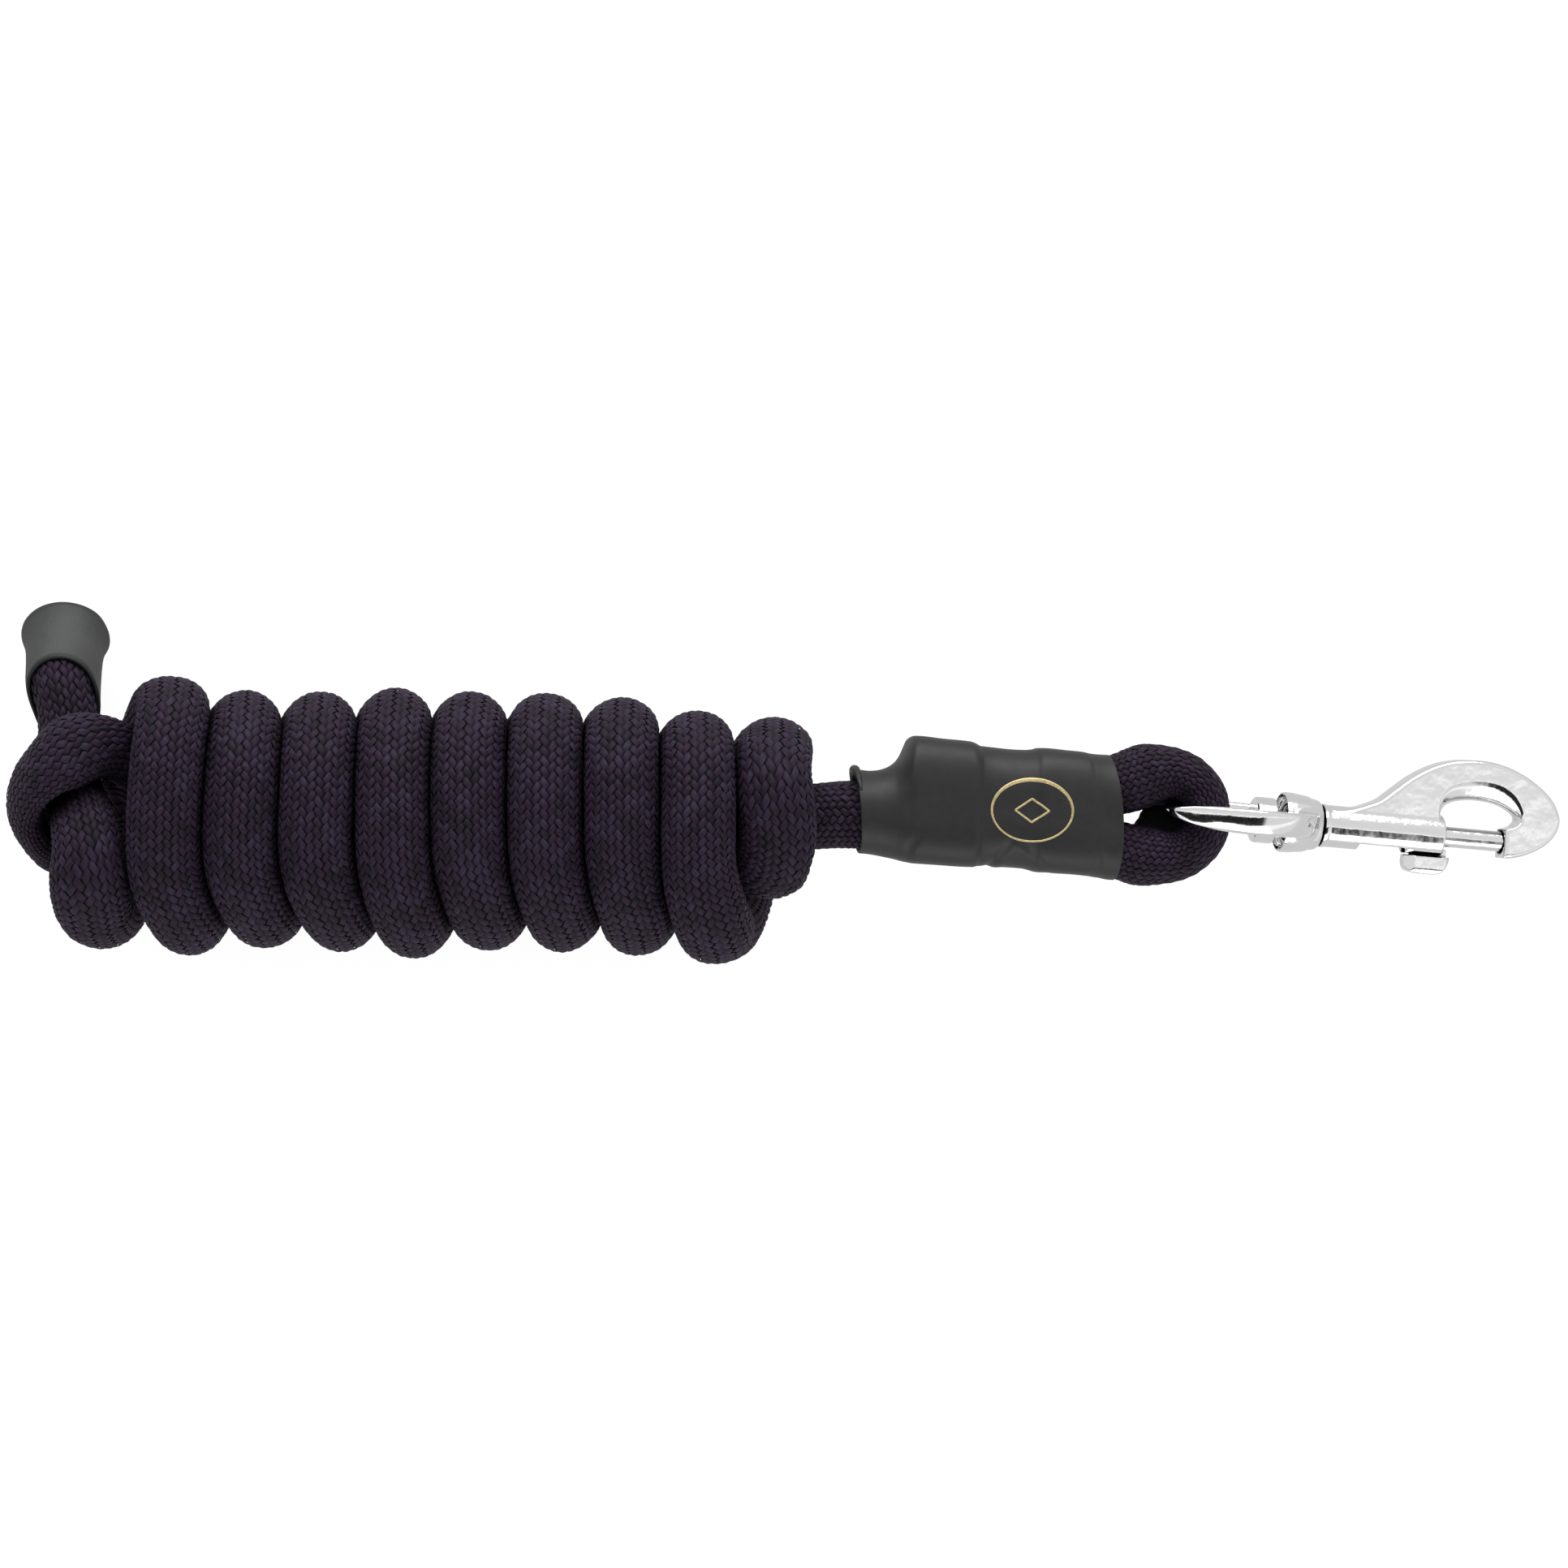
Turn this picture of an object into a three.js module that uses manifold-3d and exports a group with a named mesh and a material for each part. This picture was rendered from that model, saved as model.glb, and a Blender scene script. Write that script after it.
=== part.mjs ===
// Lead rope: a soft braided rope about two metres long, laid up as a wrapped
// bundle, with a swivel snap hook spliced into one end and a rubber cap on the
// other.  Millimetres, +Z up, bundle lying on the ground plane z = 0, long axis
// along X, snap hook towards +X, origin under the middle of the bounding box.
import * as THREE from 'three';
import Module from 'manifold-3d';
import { mergeVertices } from 'three/addons/utils/BufferGeometryUtils.js';

// ---------------------------------------------------------------- dimensions
const CUT_OVERRUN = 1;            // how far cutters run out past an open end

// Rope: cover and core are polygons scaled to the section at each station
const BORE_SCALE = 0.78;          // bore of the braided cover / outside radius
const CORE_SCALE = 0.715;         // filler core / outside radius
const COVER_SIDES = 8;
const CORE_SIDES = 6;
const GROUND_CUT = 0.55;          // depth of the flats where the turns lie on the ground
const GROUND_BLOCK = [600, 300, 40];

// From the layout frame, in which the stations are given, to the part frame
const LAYOUT_SHIFT = [-1.926, 2.134, -GROUND_CUT];

// Tail cap
const CAP_WALL_GAP = 0.35;        // rope to cap, radially
const CAP_END_GAP = 0.3;          // rope end to the floor of the cap's bore
const CAP_LENGTH = 20.6;
const CAP_BORE_DEPTH = 17.6;
const CAP_FLANGE_RADIUS = 12.2;
const CAP_END_RADIUS = 10.6;
const CAP_SIDES = 22;

// Sleeve and ferrules
const SLEEVE_SIDES = 20;
const SLEEVE_BORE_SCALE = 0.94;   // inside / outside
const SECTION_POWER = 3.1;        // 2 is an ellipse, higher is squarer
const FERRULE_HALF_WIDTH = 16.02;
const FERRULE_HALF_HEIGHT = 12.1;
const FERRULE_BORE_SCALE = 0.952;
const REAR_FERRULE_SPAN = [17.6, 30.6];    // start and end along the sleeve
const FRONT_FERRULE_SPAN = [49.4, 63.6];

// Snap placing
const SNAP_CENTRE = [125.43, -9.36, 21.6];   // ring centre
const SNAP_YAW = THREE.MathUtils.degToRad(-5.2);
const SNAP_PITCH = THREE.MathUtils.degToRad(10.85);
const RING_ROLL = THREE.MathUtils.degToRad(2.5);

// Swivel eye
const RING_RADIUS = 18.4;         // centre of the wire
const RING_INNER = 15.8;
const RING_OUTER = 21.0;
const RING_HALF_HEIGHT = 2.9;
const RING_SEGMENTS = 36;
const COLLAR_RADIUS = 7.6;
const COLLAR_START = 9.9;
const COLLAR_END = 22.5;
const STEM_CLEARANCE = 0.45;
const STEM_BORE_SPAN = [5, 30];   // cutter, longer than the collar at both ends

// Snap body
const TURNED_SIDES = 20;          // collar, stem and barrel
const BORE_SIDES = 16;            // bolt and its bores
const STEM_RADIUS = 3.1;
const HEAD_RADIUS = 6.3;          // rivet head that keeps the snap on the ring
const HEAD_START = 3.3;
const HEAD_END = 9.4;
const BARREL_RADIUS = 5.8;
const BARREL_END_RADIUS = 5.3;    // at the edge breaks
const BARREL_START = 22.9;
const BARREL_END = 59.0;
const BORE_RADIUS = 3.2;          // bolt and spring bore in the barrel
const BORE_START = 27.9;
const SLOT_WIDTH = 3.6;
const SLOT_START = 35.0;
const SLOT_CUT_HEIGHT = 8;
const SLOT_CUT_Y = -5.5;
const HOOK_HALF = 4.1;            // half thickness of the hook plate
const HOOK_BEVEL = 1.3;
const HOOK_END = 74.9;            // gate face of the hook
const SOCKET_DEPTH = 1.5;         // bolt socket in the gate face
const SOCKET_OVERRUN = 2;

// Bolt and thumb stud
const BOLT_RADIUS = 2.8;
const BOLT_TAIL = 47.2;
const BOLT_TIP = 75.7;
const STUD_X = 53.3;              // centre of the stud's foot and its pocket
const POCKET_SIZE = [4.6, 4.0, 3.4];
const POCKET_Y = -2.6;
const FOOT_SIZE = [4.0, 6.6, 2.8];
const FOOT_Y = -4.0;
const PAD_DEPTH = 5.6;            // along Z, between the bevels
const PAD_BEVEL_THICKNESS = 0.9;  // along Z
const PAD_BEVEL_SIZE = 0.5;       // in the outline

// Return spring
const SPRING_COILS = 7;
const SPRING_STEPS_PER_COIL = 12;
const SPRING_WIRE_RADIUS = 0.3;
const SPRING_WIRE_SIDES = 5;
const SPRING_RADIUS = 2.35;
const SPRING_END_GAP = 0.6;       // wire centre to the bore's end and to the bolt

// Laid path of the rope, in the layout frame.
// Each row: centre x, y, z, half thickness, half width, thickness direction x, y, z.
const ROPE_STATIONS = [
  // cut end inside the sleeve, round the eye and back through the sleeve
  [33.80, 4.42, 29.44, 7.00, 10.30, 0.11, 0.99, -0.01],
  [48.09, 2.85, 27.86, 7.00, 10.30, 0.10, 0.99, -0.01],
  [61.91, 1.44, 26.34, 7.18, 10.30, 0.10, 1.00, -0.01],
  [75.75, 0.12, 24.82, 7.00, 10.30, 0.09, 1.00, -0.01],
  [89.61, -1.09, 23.31, 7.34, 10.18, -0.05, 1.00, 0.01],
  [96.23, 0.49, 22.60, 7.82, 9.97, -0.37, 0.93, 0.05],
  [100.88, 2.44, 22.12, 7.63, 9.86, -0.31, 0.95, 0.05],
  [105.72, 3.27, 21.75, 6.96, 9.78, 0.05, 1.00, 0.02],
  [110.34, 1.85, 21.59, 6.40, 9.67, 0.52, 0.85, 0.00],
  [113.55, -1.23, 21.58, 5.87, 9.54, 0.82, 0.57, -0.00],
  [115.59, -6.32, 21.60, 5.46, 9.38, 0.99, 0.17, 0.00],
  [115.60, -10.83, 21.60, 5.44, 9.37, 0.99, -0.17, -0.00],
  [113.76, -15.43, 21.58, 5.85, 9.53, 0.83, -0.56, -0.00],
  [110.13, -18.76, 21.59, 6.45, 9.68, 0.49, -0.87, 0.00],
  [105.92, -20.09, 21.73, 6.93, 9.77, 0.12, -0.99, 0.02],
  [100.51, -19.67, 22.15, 7.64, 9.87, -0.23, -0.97, 0.04],
  [88.91, -16.75, 23.38, 7.29, 10.20, -0.14, -0.99, 0.02],
  [75.06, -15.45, 24.89, 7.00, 10.30, -0.09, -1.00, 0.01],
  [61.20, -14.20, 26.41, 7.16, 10.30, -0.09, -1.00, 0.01],
  [47.34, -12.91, 27.91, 7.00, 10.30, -0.09, -1.00, 0.01],
  [33.54, -11.34, 29.39, 7.45, 9.96, -0.22, -0.97, 0.02],
  // along the inside of the bundle
  [19.89, -8.46, 30.28, 9.23, 9.45, -0.08, -1.00, 0.00],
  [5.52, -9.05, 30.42, 8.84, 9.90, 0.08, -0.97, 0.24],
  [-8.16, -9.14, 32.36, 7.06, 10.35, 0.02, -0.90, 0.43],
  [-21.70, -7.32, 34.79, 6.60, 10.20, -0.10, -0.88, 0.46],
  [-35.36, -4.74, 34.55, 6.69, 10.20, -0.22, -0.90, 0.37],
  [-48.85, -1.95, 32.60, 7.20, 10.20, -0.22, -0.95, 0.22],
  [-62.23, -1.42, 31.74, 7.50, 10.20, 0.06, -0.98, 0.20],
  [-76.28, -1.77, 31.76, 7.50, 10.20, 0.01, -0.98, 0.20],
  [-90.31, -1.90, 31.69, 7.50, 10.20, 0.00, -0.98, 0.20],
  [-104.31, -1.95, 31.61, 7.50, 10.20, 0.00, -0.98, 0.20],
  [-118.27, -1.98, 31.55, 7.50, 10.20, 0.00, -0.98, 0.20],
  [-132.17, -1.94, 31.59, 7.50, 10.20, -0.00, -0.98, 0.20],
  [-145.96, -1.71, 31.40, 7.50, 10.20, -0.05, -0.98, 0.19],
  // round the end loop
  [-160.09, -2.12, 31.07, 7.13, 9.91, 0.01, -1.00, 0.05],
  [-166.84, -1.10, 31.22, 6.80, 9.60, -0.33, -0.94, 0.02],
  [-172.45, 2.01, 32.43, 6.50, 9.27, -0.45, -0.81, 0.36],
  [-176.47, 5.54, 35.66, 6.06, 8.71, -0.08, -0.83, 0.56],
  [-180.61, 8.70, 42.08, 5.85, 8.81, 0.48, -0.71, 0.52],
  [-184.68, 9.69, 47.69, 5.79, 9.22, 0.69, -0.34, 0.63],
  [-188.28, 9.43, 50.76, 5.83, 9.72, 0.54, -0.07, 0.84],
  [-192.50, 8.27, 52.32, 5.75, 10.01, 0.06, 0.23, 0.97],
  [-196.73, 6.31, 51.98, 5.66, 10.26, -0.45, 0.36, 0.82],
  [-201.58, 2.84, 49.40, 5.53, 10.53, -0.74, 0.36, 0.57],
  [-205.56, -1.67, 45.28, 5.35, 10.51, -0.90, 0.20, 0.39],
  [-207.17, -6.46, 39.96, 5.35, 10.65, -0.99, -0.13, 0.11],
  [-205.89, -11.59, 33.83, 5.72, 10.99, -0.90, -0.43, -0.00],
  [-203.99, -14.35, 31.07, 6.29, 11.00, -0.73, -0.69, -0.01],
  [-200.45, -16.77, 29.06, 6.99, 10.86, -0.39, -0.92, -0.02],
  [-195.73, -17.99, 28.52, 7.45, 10.51, -0.12, -0.99, 0.00],
  [-188.56, -18.33, 29.52, 7.74, 10.26, -0.01, -1.00, -0.00],
  // back along the inside
  [-174.72, -18.34, 31.32, 7.58, 10.20, 0.01, -1.00, 0.00],
  [-160.63, -17.82, 31.03, 7.50, 10.20, 0.05, -0.99, 0.12],
  [-146.34, -17.67, 30.67, 7.50, 10.20, -0.01, -0.98, 0.20],
  [-132.72, -17.76, 30.66, 7.50, 10.20, -0.01, -0.98, 0.20],
  [-118.66, -17.79, 30.69, 7.50, 10.20, 0.00, -0.98, 0.20],
  [-104.63, -17.78, 30.69, 7.50, 10.20, 0.00, -0.98, 0.20],
  [-90.62, -17.75, 30.76, 7.50, 10.20, 0.00, -0.98, 0.20],
  [-76.63, -17.79, 30.93, 7.50, 10.20, -0.02, -0.98, 0.20],
  [-62.66, -18.06, 31.18, 7.50, 10.20, -0.03, -0.98, 0.20],
  [-48.80, -19.07, 30.21, 7.12, 10.20, -0.08, -0.96, 0.28],
  [-35.04, -21.40, 29.17, 6.62, 10.12, -0.17, -0.91, 0.38],
  [-21.26, -23.39, 30.10, 6.92, 10.20, -0.13, -0.97, 0.20],
  // nine turns over itself, working towards -X
  [-11.61, -24.11, 35.18, 7.78, 10.04, -0.07, -0.99, 0.07],
  [-6.99, -23.48, 39.78, 8.21, 10.20, -0.30, -0.79, 0.53],
  [-3.50, -20.62, 44.57, 8.56, 10.34, -0.27, -0.63, 0.73],
  [-1.81, -15.97, 48.33, 8.82, 10.39, -0.08, -0.51, 0.86],
  [-1.76, -8.64, 51.37, 9.21, 10.23, 0.02, -0.22, 0.97],
  [-2.17, -3.87, 51.90, 9.36, 10.17, -0.00, 0.04, 1.00],
  [-2.55, 0.61, 50.88, 9.46, 10.12, -0.03, 0.44, 0.90],
  [-2.77, 4.36, 47.66, 9.54, 10.04, -0.01, 0.82, 0.58],
  [-2.76, 6.87, 42.63, 9.59, 9.96, 0.00, 0.94, 0.34],
  [-3.14, 8.96, 31.70, 9.69, 9.82, -0.02, 1.00, 0.01],
  [-5.09, 7.01, 22.34, 9.70, 9.80, -0.46, -0.76, 0.46],
  [-7.15, 2.32, 15.68, 9.70, 9.80, -0.21, -0.62, 0.75],
  [-9.08, -4.83, 11.53, 9.70, 9.80, -0.07, -0.32, 0.95],
  [-11.22, -15.83, 9.70, 9.70, 9.80, -0.00, -0.02, 1.00],
  [-13.86, -29.52, 11.79, 9.70, 9.80, 0.08, 0.35, 0.93],
  [-15.53, -35.67, 15.74, 9.70, 9.80, 0.22, 0.65, 0.73],
  [-17.39, -39.78, 22.32, 9.69, 9.81, 0.52, 0.76, 0.39],
  [-19.03, -41.16, 31.30, 9.61, 9.89, 0.99, -0.02, 0.11],
  [-19.69, -39.80, 40.51, 9.60, 9.90, 0.23, -0.92, 0.33],
  [-20.85, -35.57, 47.44, 9.60, 9.90, 0.18, -0.69, 0.71],
  [-22.29, -28.22, 52.56, 9.60, 9.90, 0.05, -0.41, 0.91],
  [-22.88, -17.62, 55.29, 9.60, 9.90, 0.00, -0.11, 0.99],
  [-22.83, -3.39, 54.85, 9.60, 9.90, -0.00, 0.22, 0.97],
  [-22.95, 3.22, 52.20, 9.60, 9.90, -0.02, 0.53, 0.85],
  [-23.21, 8.41, 46.95, 9.60, 9.90, -0.07, 0.85, 0.52],
  [-23.48, 10.73, 40.47, 9.61, 9.89, -0.13, 0.98, 0.16],
  [-24.36, 10.62, 31.26, 9.70, 9.80, -0.09, 0.99, -0.12],
  [-26.89, 7.32, 21.05, 9.70, 9.80, -0.39, -0.74, 0.55],
  [-29.26, 1.15, 14.36, 9.70, 9.80, -0.16, -0.52, 0.84],
  [-31.34, -7.32, 10.81, 9.70, 9.80, -0.05, -0.22, 0.97],
  [-34.04, -20.83, 9.54, 9.62, 9.72, -0.00, -0.00, 1.00],
  [-35.29, -27.12, 10.07, 9.62, 9.72, 0.04, 0.20, 0.98],
  [-36.60, -32.52, 12.53, 9.67, 9.77, 0.16, 0.57, 0.80],
  [-37.91, -36.35, 17.06, 9.70, 9.80, 0.34, 0.79, 0.51],
  [-39.23, -38.41, 23.81, 9.67, 9.83, 0.81, 0.56, 0.18],
  [-39.89, -37.78, 33.31, 9.60, 9.90, 0.01, -0.98, 0.21],
  [-40.39, -34.52, 41.86, 9.60, 9.90, 0.21, -0.82, 0.53],
  [-42.06, -28.31, 48.50, 9.60, 9.90, 0.13, -0.56, 0.82],
  [-43.31, -18.52, 52.86, 9.60, 9.90, 0.01, -0.23, 0.97],
  [-43.46, -4.74, 54.11, 9.60, 9.90, -0.00, 0.05, 1.00],
  [-43.53, 3.43, 52.60, 9.60, 9.90, -0.00, 0.35, 0.94],
  [-43.62, 9.42, 48.83, 9.60, 9.90, -0.02, 0.71, 0.71],
  [-43.71, 13.31, 42.82, 9.60, 9.90, -0.01, 0.93, 0.37],
  [-43.94, 14.91, 34.09, 9.68, 9.82, -0.03, 1.00, 0.02],
  [-46.06, 13.25, 23.43, 9.70, 9.80, -0.59, -0.68, 0.43],
  [-48.41, 8.57, 16.26, 9.70, 9.80, -0.24, -0.63, 0.74],
  [-50.54, 1.30, 11.83, 9.70, 9.80, -0.08, -0.33, 0.94],
  [-52.82, -10.09, 9.69, 9.70, 9.80, -0.01, -0.05, 1.00],
  [-55.36, -23.45, 11.17, 9.70, 9.80, 0.06, 0.29, 0.96],
  [-56.94, -29.88, 14.66, 9.70, 9.80, 0.18, 0.61, 0.77],
  [-58.56, -34.25, 20.56, 9.70, 9.80, 0.41, 0.79, 0.45],
  [-60.01, -36.00, 28.81, 9.63, 9.87, 0.98, 0.19, 0.10],
  [-60.55, -34.42, 38.89, 9.60, 9.90, 0.20, -0.92, 0.34],
  [-61.94, -29.91, 46.16, 9.59, 9.89, 0.20, -0.67, 0.71],
  [-63.55, -22.36, 51.14, 9.60, 9.90, 0.05, -0.37, 0.93],
  [-64.06, -12.38, 53.24, 9.60, 9.90, 0.00, -0.07, 1.00],
  [-64.11, 1.41, 52.24, 9.60, 9.90, -0.00, 0.27, 0.96],
  [-64.21, 8.78, 48.79, 9.60, 9.90, -0.01, 0.60, 0.80],
  [-64.35, 13.75, 43.09, 9.60, 9.90, -0.03, 0.88, 0.48],
  [-64.44, 16.00, 35.80, 9.65, 9.85, -0.03, 0.99, 0.12],
  [-65.78, 15.46, 26.19, 9.70, 9.80, -0.69, 0.73, -0.00],
  [-68.21, 11.67, 18.11, 9.70, 9.80, -0.31, -0.69, 0.65],
  [-70.53, 5.12, 12.84, 9.70, 9.80, -0.12, -0.41, 0.90],
  [-72.65, -4.01, 10.17, 9.70, 9.80, -0.03, -0.14, 0.99],
  [-75.27, -17.97, 10.18, 9.70, 9.80, 0.03, 0.14, 0.99],
  [-76.83, -26.00, 12.58, 9.70, 9.80, 0.10, 0.43, 0.90],
  [-78.35, -31.65, 17.18, 9.70, 9.80, 0.24, 0.73, 0.64],
  [-79.88, -35.01, 24.23, 9.68, 9.82, 0.58, 0.76, 0.28],
  [-80.74, -35.41, 33.20, 9.60, 9.90, 0.16, -0.98, 0.12],
  [-81.17, -33.25, 40.94, 9.59, 9.89, 0.25, -0.86, 0.45],
  [-82.57, -28.73, 46.87, 9.59, 9.89, 0.18, -0.62, 0.76],
  [-84.21, -20.48, 51.52, 9.60, 9.90, 0.03, -0.30, 0.95],
  [-84.67, -10.01, 53.11, 9.60, 9.90, 0.00, -0.03, 1.00],
  [-84.83, 3.88, 51.14, 9.60, 9.90, -0.00, 0.37, 0.93],
  [-84.83, 10.20, 47.17, 9.60, 9.90, 0.00, 0.69, 0.72],
  [-84.79, 14.33, 40.96, 9.60, 9.90, 0.01, 0.93, 0.37],
  [-85.05, 15.89, 33.07, 9.68, 9.82, -0.02, 1.00, 0.04],
  [-87.26, 14.57, 23.29, 9.70, 9.80, -0.67, -0.61, 0.42],
  [-89.66, 10.14, 16.36, 9.70, 9.80, -0.25, -0.62, 0.74],
  [-91.82, 3.11, 12.01, 9.70, 9.80, -0.08, -0.33, 0.94],
  [-94.05, -8.05, 9.81, 9.70, 9.80, -0.01, -0.07, 1.00],
  [-96.32, -21.38, 10.72, 9.70, 9.80, 0.03, 0.21, 0.98],
  [-97.80, -29.19, 13.74, 9.70, 9.80, 0.11, 0.51, 0.85],
  [-99.26, -34.74, 19.27, 9.70, 9.80, 0.26, 0.79, 0.55],
  [-100.43, -37.29, 26.22, 9.66, 9.84, 0.60, 0.78, 0.20],
  [-100.92, -37.12, 35.77, 9.60, 9.90, 0.13, -0.97, 0.18],
  [-101.55, -34.55, 42.77, 9.60, 9.90, 0.25, -0.81, 0.54],
  [-103.02, -29.51, 48.15, 9.60, 9.90, 0.14, -0.56, 0.82],
  [-104.51, -20.93, 52.03, 9.60, 9.90, 0.02, -0.24, 0.97],
  [-104.85, -8.39, 53.15, 9.60, 9.90, -0.00, 0.02, 1.00],
  [-104.91, 4.85, 50.54, 9.60, 9.90, -0.00, 0.41, 0.91],
  [-104.93, 11.38, 45.96, 9.60, 9.90, -0.01, 0.73, 0.68],
  [-105.06, 15.24, 39.57, 9.61, 9.89, -0.06, 0.94, 0.33],
  [-105.83, 16.55, 31.17, 9.69, 9.81, -0.05, 1.00, 0.00],
  [-108.12, 15.06, 22.48, 9.70, 9.80, -0.55, -0.70, 0.45],
  [-110.42, 10.37, 15.71, 9.70, 9.80, -0.22, -0.61, 0.76],
  [-112.36, 3.61, 11.79, 9.70, 9.80, -0.07, -0.32, 0.94],
  [-114.61, -8.11, 9.73, 9.70, 9.80, -0.01, -0.05, 1.00],
  [-116.83, -21.47, 10.78, 9.70, 9.80, 0.04, 0.22, 0.97],
  [-118.19, -28.64, 13.92, 9.70, 9.80, 0.12, 0.56, 0.82],
  [-119.47, -33.50, 19.38, 9.70, 9.80, 0.27, 0.82, 0.50],
  [-120.47, -35.68, 26.44, 9.65, 9.85, 0.64, 0.76, 0.15],
  [-121.02, -35.04, 36.44, 9.60, 9.90, 0.28, -0.93, 0.24],
  [-122.35, -31.86, 43.57, 9.60, 9.90, 0.31, -0.73, 0.61],
  [-124.48, -25.42, 49.38, 9.60, 9.90, 0.12, -0.48, 0.87],
  [-125.58, -16.55, 52.42, 9.60, 9.90, 0.00, -0.16, 0.99],
  [-125.23, -3.45, 52.69, 9.60, 9.90, 0.00, 0.12, 0.99],
  [-125.10, 6.14, 49.77, 9.60, 9.90, 0.00, 0.49, 0.87],
  [-125.20, 11.83, 44.94, 9.60, 9.90, -0.04, 0.79, 0.61],
  [-125.59, 15.05, 38.18, 9.61, 9.89, -0.16, 0.95, 0.26],
  [-126.95, 15.68, 28.72, 9.70, 9.80, -0.15, 0.99, -0.06],
  [-129.43, 13.46, 20.75, 9.70, 9.80, -0.49, -0.69, 0.53],
  [-132.00, 8.10, 14.47, 9.70, 9.80, -0.19, -0.53, 0.82],
  [-134.09, 0.42, 10.99, 9.70, 9.80, -0.05, -0.24, 0.97],
  [-136.60, -13.13, 9.67, 9.70, 9.80, 0.01, 0.03, 1.00],
  [-138.56, -24.93, 11.80, 9.70, 9.80, 0.07, 0.38, 0.92],
  [-139.73, -30.59, 15.70, 9.70, 9.80, 0.17, 0.70, 0.70],
  [-140.83, -34.35, 22.05, 9.69, 9.81, 0.36, 0.87, 0.34],
  [-141.53, -35.40, 29.95, 9.61, 9.89, 0.82, -0.57, 0.05],
  [-141.90, -33.98, 38.36, 9.60, 9.90, 0.29, -0.89, 0.34],
  [-143.47, -30.29, 44.75, 9.60, 9.90, 0.28, -0.67, 0.69],
  [-145.41, -23.60, 49.81, 9.60, 9.90, 0.07, -0.43, 0.90],
  [-145.88, -14.86, 52.34, 9.60, 9.90, -0.00, -0.14, 0.99],
  [-145.38, -0.68, 52.17, 9.60, 9.90, 0.00, 0.18, 0.98],
  [-145.28, 7.30, 49.17, 9.58, 9.88, 0.00, 0.53, 0.85],
  [-145.45, 12.69, 43.99, 9.57, 9.87, -0.07, 0.82, 0.56],
  [-146.12, 15.69, 36.61, 9.61, 9.85, -0.17, 0.96, 0.20],
  [-148.09, 15.85, 27.25, 9.70, 9.80, -0.36, 0.93, -0.03],
  [-150.78, 13.13, 19.59, 9.70, 9.80, -0.42, -0.68, 0.59],
  [-153.29, 7.35, 13.84, 9.70, 9.80, -0.16, -0.49, 0.86],
  [-155.32, -0.86, 10.73, 9.70, 9.80, -0.04, -0.20, 0.98],
  [-157.70, -14.68, 9.82, 9.70, 9.80, 0.01, 0.07, 1.00],
  [-159.78, -28.09, 13.13, 9.70, 9.80, 0.08, 0.46, 0.88],
  [-160.91, -33.73, 17.86, 9.70, 9.80, 0.18, 0.76, 0.62],
  [-161.83, -36.90, 24.53, 9.68, 9.82, 0.37, 0.89, 0.25],
  [-162.23, -37.33, 33.02, 9.60, 9.90, -0.03, -0.99, 0.10],
  [-162.54, -35.65, 39.83, 9.60, 9.90, 0.30, -0.86, 0.41],
  [-164.24, -31.45, 45.89, 9.60, 9.90, 0.23, -0.63, 0.74],
  [-166.05, -23.74, 50.82, 9.60, 9.90, 0.04, -0.38, 0.92],
  [-166.12, -12.82, 53.49, 9.60, 9.90, -0.01, -0.12, 0.99],
  [-165.47, 0.86, 53.93, 9.60, 9.90, 0.00, 0.08, 1.00],
  [-164.85, 11.44, 51.50, 9.47, 9.76, 0.03, 0.41, 0.91],
  [-164.54, 16.61, 47.93, 9.46, 9.76, 0.01, 0.72, 0.69],
  [-164.85, 19.84, 42.66, 9.46, 9.75, -0.25, 0.90, 0.35],
  [-165.90, 20.93, 35.95, 9.63, 9.81, -0.12, 0.99, 0.04],
  [-169.20, 19.29, 25.69, 9.70, 9.80, -0.90, -0.13, 0.42],
  [-172.92, 14.12, 17.44, 9.70, 9.80, -0.30, -0.59, 0.75],
  [-176.03, 5.76, 12.24, 9.70, 9.80, -0.09, -0.32, 0.94],
  [-178.87, -7.09, 9.79, 9.70, 9.80, -0.01, -0.06, 1.00],
  [-181.35, -20.98, 10.45, 9.70, 9.80, 0.03, 0.20, 0.98],
  [-182.74, -28.00, 13.22, 9.70, 9.80, 0.12, 0.52, 0.85],
  [-184.12, -33.28, 18.60, 9.70, 9.80, 0.25, 0.79, 0.56],
  [-185.42, -36.10, 26.18, 9.54, 9.80, 0.09, 0.98, 0.15],
  // out through the end loop to the tail
  [-186.09, -35.53, 34.67, 9.36, 9.88, 0.04, 0.97, -0.25],
  [-186.25, -30.61, 45.36, 9.11, 10.11, 0.01, -0.82, 0.57],
  [-186.33, -27.44, 49.00, 8.83, 10.27, 0.02, -0.66, 0.75],
  [-186.58, -23.46, 51.42, 8.46, 10.31, 0.03, -0.33, 0.94],
  [-187.12, -18.85, 52.01, 7.90, 9.98, 0.02, 0.10, 1.00],
  [-188.17, -13.89, 50.44, 7.35, 9.55, -0.03, 0.47, 0.88],
  [-190.06, -8.62, 46.17, 6.84, 9.05, -0.11, 0.71, 0.70],
  [-194.01, -0.21, 36.23, 6.31, 8.57, -0.08, 0.67, 0.74],
  [-195.76, 8.66, 30.63, 7.12, 9.27, -0.00, 0.37, 0.93],
  [-196.56, 15.92, 28.12, 8.22, 9.27, 0.01, 0.32, 0.95],
  [-197.60, 22.64, 24.94, 8.83, 8.93, -0.03, 0.63, 0.78],
  [-198.81, 36.48, 11.70, 8.90, 8.90, 0.94, -0.18, -0.28],
];

// Heat-shrink sleeve: two points on its axis, the first at its bundle end.
const SLEEVE_AXIS = [[20.36, -7.41, 30.75], [91.68, -9.35, 23.1]];
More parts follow.
